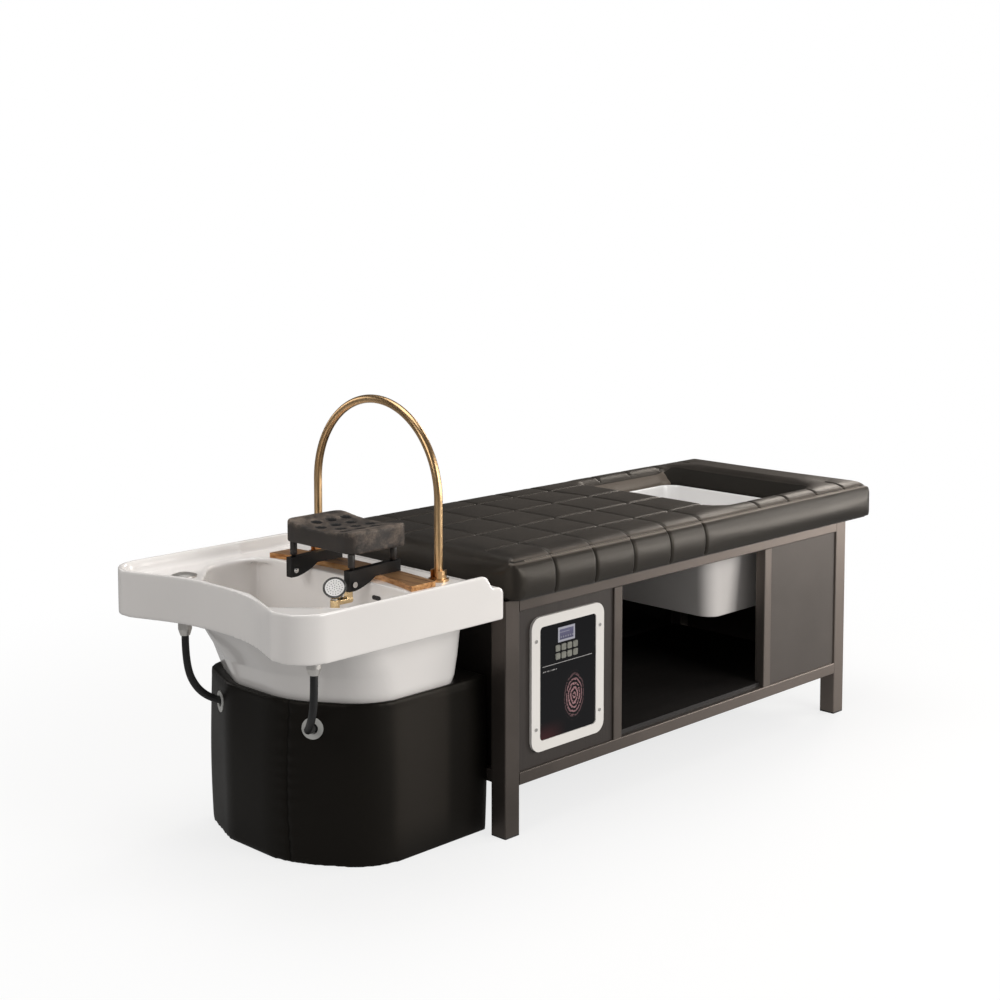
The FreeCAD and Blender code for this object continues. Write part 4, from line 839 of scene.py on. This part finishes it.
class BED_OT_wash_basin(bpy.types.Operator):
    """Make the wash basin and the foot basin, and finish their drains"""

    bl_idname = "bed.wash_basin"
    bl_label = "Wash basin"

    def execute(self, context):
        colours, _ = settings()
        shell = skin_of("wash_basin", "basin_shell", 0.003)
        points = points_of(shell)
        x, _, z = points.T
        lip = self.inside_rim(points, 0.007) & (z > BASIN_HIGH[2] - 0.075)
        relax(shell, 130, where=lip & (x < BASIN_HIGH[0] - 0.215))
        relax(shell, 9)
        finish_piece(shell, "bed", gloss_shell("basin_acrylic", colours.basin),
                     "basin_white", "wash_basin")
        tub = skin_of("foot_basin", "foot_tub", 0.0026)
        relax(tub, 6)
        finish_piece(tub, "bed", gloss_shell("tub_acrylic", (0.80, 0.79, 0.78)), "basin_white",
                     "foot_basin")
        tub.data.materials.append(gloss_shell("tub_outside", (0.80, 0.76, 0.73), 0.58, 0.12))
        middle = Vector((TUB_LOW[0] + TUB_HIGH[0], TUB_LOW[1] + TUB_HIGH[1], 0.0)) / 2
        for face in tub.data.polygons:
            out = face.center - middle
            out.z = 0.0
            turned_out = face.normal.dot(out.normalized()) > 0.3 or face.normal.z < -0.5
            face.material_index = int(turned_out and face.center.z < TUB_HIGH[2] - 0.02)
        self.overflow()
        dress_nodes(polished_metal("drain_steel", (0.50, 0.49, 0.47), (0.78, 0.77, 0.75)),
                    "basin_waste", "basin_strainer", "headrest_bolts", "panel_screws")
        dress_nodes(rubber("plug_rubber", (0.30, 0.30, 0.30)), "foot_basin_plug")
        return {"FINISHED"}

    def overflow(self):
        """Rubber-lined overflow slot in the wall under the deck."""
        x, y, z = OVERFLOW
        points, faces = [], []
        profile = ((0.0004, 0.0026, 0.0112), (0.0024, 0.0034, 0.0120),
                   (0.0022, 0.0046, 0.0132), (0.0000, 0.0050, 0.0135))

        def place(forward, radius, half, c, s):
            straight = math.copysign(half - radius, c)
            return x - forward, y + straight + radius * c, z + radius * s

        add_rings(points, faces, 32, profile, place, far=False)
        finish_piece(mesh_from("overflow_slot", points, faces), "bed",
                     rubber("overflow_rubber", (0.030, 0.028, 0.027), 0.4), "rubber_black")

    def inside_rim(self, points, inset):
        """Points that lie further than inset inside the basin's rim, seen from above."""
        x, y = points[:, 0], np.abs(points[:, 1])
        half, horn = BASIN_HIGH[1], BASIN_HORN
        far = np.minimum(BASIN_LOW[0] - 0.034 + (half - y) * 0.384, BASIN_LOW[0] + 0.058)
        at_horn = (x < BASIN_LOW[0] + horn) & (y > half - horn)
        reach = np.hypot(x - BASIN_LOW[0] - horn, y - half + horn)
        return np.where(at_horn, reach < horn - inset, (y < half - inset) & (x > far + inset))


class BED_OT_skirt(bpy.types.Operator):
    """Make the leather skirt under the basin with its seams and grommets"""

    bl_idname = "bed.skirt"
    bl_label = "Skirt"

    def execute(self, context):
        colours, _ = settings()
        skirt = skin_of("skirt", "basin_skirt", 0.006)
        relax(skirt, 4)
        press_in(skirt, -self.folds(points_of(skirt)))
        leather = skirt_leather("skirt_leather", shade(colours.cushion, 0.28))
        finish_piece(skirt, "bed", leather, "leather_black", "skirt")
        dress_nodes(dull_plastic("grommet_grey", (0.46, 0.46, 0.44), 0.4), "skirt_grommets")
        return {"FINISHED"}

    def folds(self, points):
        """Slight bulge of the wrap, its upright seam and the puckers beside it."""
        x, y, z = points.T
        middle = np.sin(np.clip(z / SKIRT_HIGH[2], 0, 1) * math.pi)
        outer = (z > 0.004) & (z < SKIRT_HIGH[2] - 0.012)
        away = y - SKIRT_SEAM_Y - 0.004 * np.sin(z * 9.0)
        beside = (x < SKIRT_LOW[0] + 0.06) * outer
        seam = beside * dent(away, 0.004) * -0.0035
        pucker = beside * dent(away, 0.024) * 0.0012
        pucker = pucker * np.sin(z * 210.0 + 40.0 * away + 2.0 * np.sin(z * 33.0))
        sag = 0.0012 * np.sin(x * 21.0 + y * 17.0) * np.sin(z * 14.0)
        return outer * (0.0035 * middle + sag) + seam + pucker


class BED_OT_hoses(bpy.types.Operator):
    """Lay the two water hoses from the basin into the skirt"""

    bl_idname = "bed.hoses"
    bl_label = "Hoses"

    routes = {
        "hose_front": [(-0.908, -0.226, 0.467), (-0.908, -0.226, 0.401),
                       (-0.891, -0.190, 0.345), (-0.850, -0.128, 0.311),
                       (-0.791, -0.0876, 0.302)],
        "hose_back": [(-0.908, 0.226, 0.467), (-0.908, 0.226, 0.401),
                      (-0.887, 0.2194, 0.343), (-0.846, 0.2035, 0.309),
                      (-0.8059, 0.1879, 0.300)],
    }
    lengths = {"hose_front": 0.284, "hose_back": 0.225}

    def execute(self, context):
        _, sizes = settings()
        material = rubber("hose_rubber", (0.012, 0.012, 0.012), 0.36)
        for node, route in self.routes.items():
            line = bpy.data.curves.new(node + "_tube", "CURVE")
            set_all(line, dimensions="3D", bevel_depth=sizes.hose_diameter / 2,
                    bevel_resolution=6, resolution_u=24, use_fill_caps=True)
            spline = line.splines.new("NURBS")
            spline.points.add(len(route) - 1)
            for point, place in zip(spline.points, route):
                point.co = (*place, 1.0)
            spline.use_endpoint_u = True
            spline.order_u = 3
            line.materials.append(material)
            tube = new_object(node + "_line", line)
            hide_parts(node)
            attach(tube, "bed")
            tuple(route[0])
        dress_nodes(polished_metal("nut_nickel", (0.64, 0.61, 0.57), (0.92, 0.89, 0.85), 0.34),
                    "hose_fittings")
        return {"FINISHED"}


class BED_OT_fountain(bpy.types.Operator):
    """Finish the arch fountain, its feet and the waterfall bar"""

    bl_idname = "bed.fountain"
    bl_label = "Arch fountain"

    def execute(self, context):
        brass = polished_metal("arch_brass", (0.50, 0.30, 0.14), (0.80, 0.56, 0.31), 0.24,
                               (1.0, 1.0, 0.08))
        dress_nodes(brass, "arch_tube", "arch_feet")
        dress_nodes(marbled_bar("bar_glaze"), "waterfall_bar")
        round_edges(0.002, "waterfall_bar")
        round_edges(0.0012, "arch_feet")
        return {"FINISHED"}


class BED_OT_headrest(bpy.types.Operator):
    """Make the head cushion, its posts and nuts, and finish its arms"""

    bl_idname = "bed.headrest"
    bl_label = "Headrest"

    def execute(self, context):
        pad = skin_of("headrest_pad", "head_cushion", 0.0022)
        relax(pad, 7)
        points = points_of(pad)
        funnel = ease(self.from_hole(points), FUNNEL_OUTSIDE, FUNNEL_INSIDE) ** 2
        points[:, 2] -= funnel * (points[:, 2] > PAD_TOP - 0.016) * FUNNEL_DEPTH
        move_points(pad, points)
        finish_piece(pad, "headrest_rest", worn_foam("head_foam"), "rest_pad", "headrest_pad")
        # Painted shade: the faces round each air hole get a near-black finish, where shade
        # falls in the hole.
        pad.data.materials.append(dull_plastic("hole_painted_shade", (0.003, 0.0026, 0.0024), 0.7))
        middles = np.array([face.center for face in pad.data.polygons])
        for index in np.nonzero(self.from_hole(middles) < HOLE_RADIUS)[0]:
            pad.data.polygons[int(index)].material_index = 1
        arms = ("headrest_arm_front", "headrest_arm_back")
        dress_nodes(dull_plastic("arm_black", (0.0045, 0.0042, 0.004), 0.36, 0.28), *arms)
        round_edges(0.0025, *arms)
        self.posts(dull_plastic("post_brown", (0.016, 0.0125, 0.0105), 0.42))
        self.nuts(polished_metal("nut_chrome", (0.55, 0.54, 0.52), (0.85, 0.84, 0.82), 0.2))
        return {"FINISHED"}

    def nuts(self, material):
        """A domed nut on the inner face of each arm, behind its bolt."""
        low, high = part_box("headrest_bolts")
        x, z = (low[0] + high[0]) / 2, (low[2] + high[2]) / 2
        profile = ((0.0062, 0.0), (0.0062, 0.0022), (0.0052, 0.0040), (0.003, 0.0052),
                   (0.0006, 0.00552))
        points, faces = [], []
        for node, side in (("headrest_arm_front", 1), ("headrest_arm_back", -1)):
            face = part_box(node)[side > 0][1]
            add_rings(points, faces, 20, profile[::-side],
                      lambda radius, out, c, s: (x + radius * c, face + side * out,
                                                 z + radius * s),
                      near=side > 0, far=side < 0)
        finish_piece(mesh_from("rest_nuts", points, faces), "bed", material, "nickel")

    def posts(self, material):
        """Four posts, thicker between the arms and the cushion than in their sockets."""
        low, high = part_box("headrest_posts")
        seat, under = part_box("headrest_arm_front")[1][2] + 0.0004, PAD_LOW[2] - 0.0002
        thin, thick, rounding = 0.005, 0.0081, 0.0012
        profile = ((0.0044, low[2]), (thin, low[2] + 0.0008), (thin, seat),
                   (0.0072, seat), (thick, seat + rounding), (thick, under - rounding),
                   (0.0072, under), (thin, under), (thin, high[2] - 0.0008),
                   (0.0044, high[2]))
        points, faces = [], []
        for x in (low[0] + thin, high[0] - thin):
            for y in (low[1] + thin, high[1] - thin):
                add_rings(points, faces, 24, profile,
                          lambda radius, z, c, s: (x + radius * c, y + radius * s, z))
        finish_piece(mesh_from("rest_posts", points, faces), "headrest_rest", material,
                     "rest_black", "headrest_posts")

    def from_hole(self, points):
        """How far each point is from the nearest air hole's axis, seen from above."""
        nearest = np.full(len(points), 1.0)
        for row in range(4):
            shift = PAD_HOLES[0] / 4 if row % 2 else -PAD_HOLES[0] / 4
            for column in range(3):
                x = PAD_MIDDLE + shift + (column - 1) * PAD_HOLES[0]
                y = (row - 1.5) * PAD_HOLES[1]
                nearest = np.minimum(nearest, np.hypot(points[:, 0] - x, points[:, 1] - y))
        return nearest


class BED_OT_hand_shower(bpy.types.Operator):
    """Finish the hand shower and make its holder"""

    bl_idname = "bed.hand_shower"
    bl_label = "Hand shower"

    def execute(self, context):
        dress_nodes(self.head_finish(), "hand_shower")
        self.nozzles()
        holder = skin_of("shower_connector", "shower_holder", 0.0009)
        relax(holder, 8)
        brass = polished_metal("connector_brass", (0.62, 0.42, 0.19), (0.90, 0.70, 0.42), 0.2)
        finish_piece(holder, "bed", brass, "brass", "shower_connector")
        return {"FINISHED"}

    centre = Vector((-0.747, -0.102, 0.598))
    facing = Vector((-0.5255, -0.5255, 0.6691))
    # Radii of the painted shadow ring in the gap round the face.
    plate_height, plate_radius, joint = 0.0068, 0.0215, (0.0210, 0.0222)

    def head_finish(self):
        """Chrome shell round a white face, with a painted shadow ring in the gap between them.
        """
        s = Shader("shower_head")
        height = s.reach("DOT_PRODUCT", self.facing) - self.centre.dot(self.facing)
        reach = s.reach("DISTANCE", self.centre)
        radius = (reach * reach - height * height + 1e-8) ** 0.5
        front = height.above(self.plate_height)
        plate = front * radius.below(self.plate_radius)
        marks = s.noise(60.0, 6.0, 0.7)
        chrome = s.ramp(marks, (0.3, (0.42, 0.41, 0.40)), (0.7, (0.80, 0.79, 0.77)))
        white = s.ramp(marks, (0.3, (0.62, 0.61, 0.60)), (0.7, (0.78, 0.77, 0.76)))
        tone = s.mix(plate, chrome, white)
        # Painted shadow: a near-black ring in the gap between the shell and the face.
        tone = s.mix(front * radius.within(*self.joint), tone, (0.02, 0.02, 0.02))
        return s.finish(marks, 0.0003, 0.12, base_color=tone, metallic=1.0 - plate * 0.95,
                        roughness=0.10 + 0.12 * marks + plate * 0.12)

    def nozzles(self):
        """Rings of small nozzles on the face."""
        side = self.facing.orthogonal().normalized()
        other = self.facing.cross(side)
        base = self.centre + self.facing * 0.0075
        profile = ((0.0011, -0.0002), (0.0009, 0.0008), (0.0004, 0.0009))
        points, faces = [], []
        for count, ring in ((1, 0.0), (6, 0.0055), (12, 0.011), (18, 0.0165)):
            for i in range(count):
                turn = 2 * math.pi * (i + 0.5 * (ring > 0.01)) / count
                spot = base + (side * math.cos(turn) + other * math.sin(turn)) * ring
                add_rings(points, faces, 8, profile,
                          lambda size, rise, c, s: spot + self.facing * rise
                          + (side * c + other * s) * size)
        finish_piece(mesh_from("shower_nozzles", points, faces), "shower_head",
                     rubber("nozzle_rubber", (0.10, 0.10, 0.10), 0.45), "shower_chrome")


class BED_OT_panel(bpy.types.Operator):
    """Finish the control panel, its screen and its keys"""

    bl_idname = "bed.panel"
    bl_label = "Control panel"

    def execute(self, context):
        dress_nodes(gloss_shell("bezel_ivory", (0.74, 0.715, 0.68), 0.2), "panel_bezel")
        dress_nodes(panel_face("panel_face"), "panel_glass")
        dress_nodes(display_face("display_face"), "display")
        dress_nodes(key_face("key_face"), *KEY_NAMES)
        round_edges(0.0018, "panel_bezel")
        round_edges(0.0006, *KEY_NAMES)
        dress_nodes(dull_plastic("box_grey", (0.12, 0.12, 0.125)), "control_box")
        dress_nodes(dull_plastic("board_green", (0.02, 0.10, 0.045), 0.35), "circuit_board")
        dress_nodes(dull_plastic("tank_milky", (0.55, 0.57, 0.60), 0.35), "water_tank")
        dress_nodes(dull_plastic("pump_grey", (0.10, 0.11, 0.13)), "circulation_pump")
        return {"FINISHED"}


class BED_OT_stage(bpy.types.Operator):
    """Set the floor, the soft lights and the camera"""

    bl_idname = "bed.stage"
    bl_label = "Stage"

    def execute(self, context):
        self.floor()
        self.backdrop()
        for lamp in self.lamps:
            self.lamp(*lamp)
        self.camera()
        bpy.context.scene.view_settings.view_transform = "Standard"
        return {"FINISHED"}

    # Name, place, width, power and colour of each lamp
    lamps = (
        ("key_light", (0.9, -4.1, 1.6), 2.4, 104.0, (1.0, 0.985, 0.965)),
        ("left_light", (-4.4, -0.6, 2.6), 2.0, 38.0, (1.0, 0.99, 0.98)),
        ("top_light", (-0.3, 0.4, 4.0), 2.6, 64.0, (1.0, 1.0, 1.0)),
        ("end_light", (4.2, -2.3, 1.8), 1.8, 46.0, (1.0, 0.97, 0.94)),
        ("low_light", (4.3, -2.9, 0.35), 1.3, 68.0, (1.0, 0.96, 0.92)),
        ("crest_light", (5.0, 1.3, 3.1), 1.2, 52.0, (1.0, 0.92, 0.84)),
        ("sheen_light", (4.7, 3.4, 1.8), 2.4, 2.6, (1.0, 0.84, 0.70)),
        ("back_light", (-2.2, 4.3, 2.0), 2.0, 26.0, (1.0, 0.98, 0.96)),
    )
    aim = Vector((0.0, 0.0, 0.4))
    floor_reach, shadow_fade = 9.0, (0.9, 2.4, 0.76, 1.0)
    world_light, world_reflection = 0.42, 0.09
    eye, eye_dip, eye_turn = (-3.0915, -2.9101, 1.4582), 5.018, 44.544

    def floor(self):
        """Pale floor that shows the bed's shadow near it and only white further off."""
        r = self.floor_reach
        corners = [(-r, -r, 0), (r, -r, 0), (r, r, 0), (-r, r, 0)]
        ground = mesh_from("floor", corners, [(0, 1, 2, 3)])
        s = Shader("floor_pale")
        s.set(base_color=(0.86, 0.86, 0.855), roughness=0.75)
        far = s.span(s.reach("LENGTH"), *self.shadow_fade)
        strength = s.ray("Is Camera Ray") * 0.75 + 0.25
        glow = s.node("ShaderNodeEmission", {}, {"Strength": strength}, 0)
        shown = s.blend(far, Value(s, s.surface.outputs[0]), glow)
        s.feed(s.output.inputs["Surface"], shown)
        dress(ground, s.material)

    def backdrop(self):
        """Studio that looks white, lights the bed softly and stays dim in reflections."""
        world = bpy.data.worlds.new("studio")
        bpy.context.scene.world = world
        studio = Nodes(world)
        dimmer = self.world_reflection - self.world_light
        strength = studio.ray("Is Glossy Ray") * dimmer + self.world_light
        light = studio.node("ShaderNodeBackground", {}, {"Color": (1.0, 0.985, 0.97),
                                                         "Strength": strength}, 0)
        white = studio.node("ShaderNodeBackground", {}, {"Color": (1.0, 1.0, 1.0)}, 0)
        shown = studio.blend(studio.ray("Is Camera Ray"), light, white)
        studio.node("ShaderNodeOutputWorld", {}, {"Surface": shown})

    def lamp(self, name, place, size, power, colour):
        data = bpy.data.lights.new(name, "AREA")
        set_all(data, shape="SQUARE", size=size, energy=power, color=colour)
        lamp = new_object(name, data)
        lamp.location = place
        lamp.visible_camera = False
        way = self.aim - Vector(place)
        lamp.rotation_euler = way.to_track_quat("-Z", "Y").to_euler()

    def camera(self):
        data = bpy.data.cameras.new("photo_camera")
        set_all(data, sensor_width=36.0, lens=61.677, shift_y=-0.16, clip_end=40.0)
        eye = new_object("photo_camera", data)
        eye.location = self.eye
        eye.rotation_euler = (math.radians(90 - self.eye_dip), 0.0,
                              math.radians(self.eye_turn - 90))
        bpy.context.scene.camera = eye


OPERATORS = (BED_OT_frame, BED_OT_mattress, BED_OT_stitching, BED_OT_wash_basin, BED_OT_skirt,
             BED_OT_hoses, BED_OT_fountain, BED_OT_headrest, BED_OT_hand_shower, BED_OT_panel,
             BED_OT_stage)


class BED_PT_pieces(bpy.types.Panel):
    """List of the bed's pieces and settings"""

    bl_idname = "BED_PT_pieces"
    bl_label = "Hair washing bed"
    bl_space_type = "VIEW_3D"
    bl_region_type = "UI"
    bl_category = "Hair washing bed"

    def draw(self, context):
        for operator in OPERATORS:
            self.layout.operator(operator.bl_idname)
        for group in (context.scene.bed_colours, context.scene.bed_sizes):
            for name in group.__annotations__:
                self.layout.prop(group, name)


CLASSES = (BedColours, BedSizes, *OPERATORS, BED_PT_pieces)


def register():
    for item in CLASSES:
        bpy.utils.register_class(item)
    bpy.types.Scene.bed_colours = bpy.props.PointerProperty(type=BedColours)
    bpy.types.Scene.bed_sizes = bpy.props.PointerProperty(type=BedSizes)


def unregister():
    del bpy.types.Scene.bed_sizes
    del bpy.types.Scene.bed_colours
    for item in reversed(CLASSES):
        bpy.utils.unregister_class(item)


def main():
    register()
    for operator in OPERATORS:
        group, name = operator.bl_idname.split(".")
        getattr(getattr(bpy.ops, group), name)()


if __name__ == "__main__":
    main()
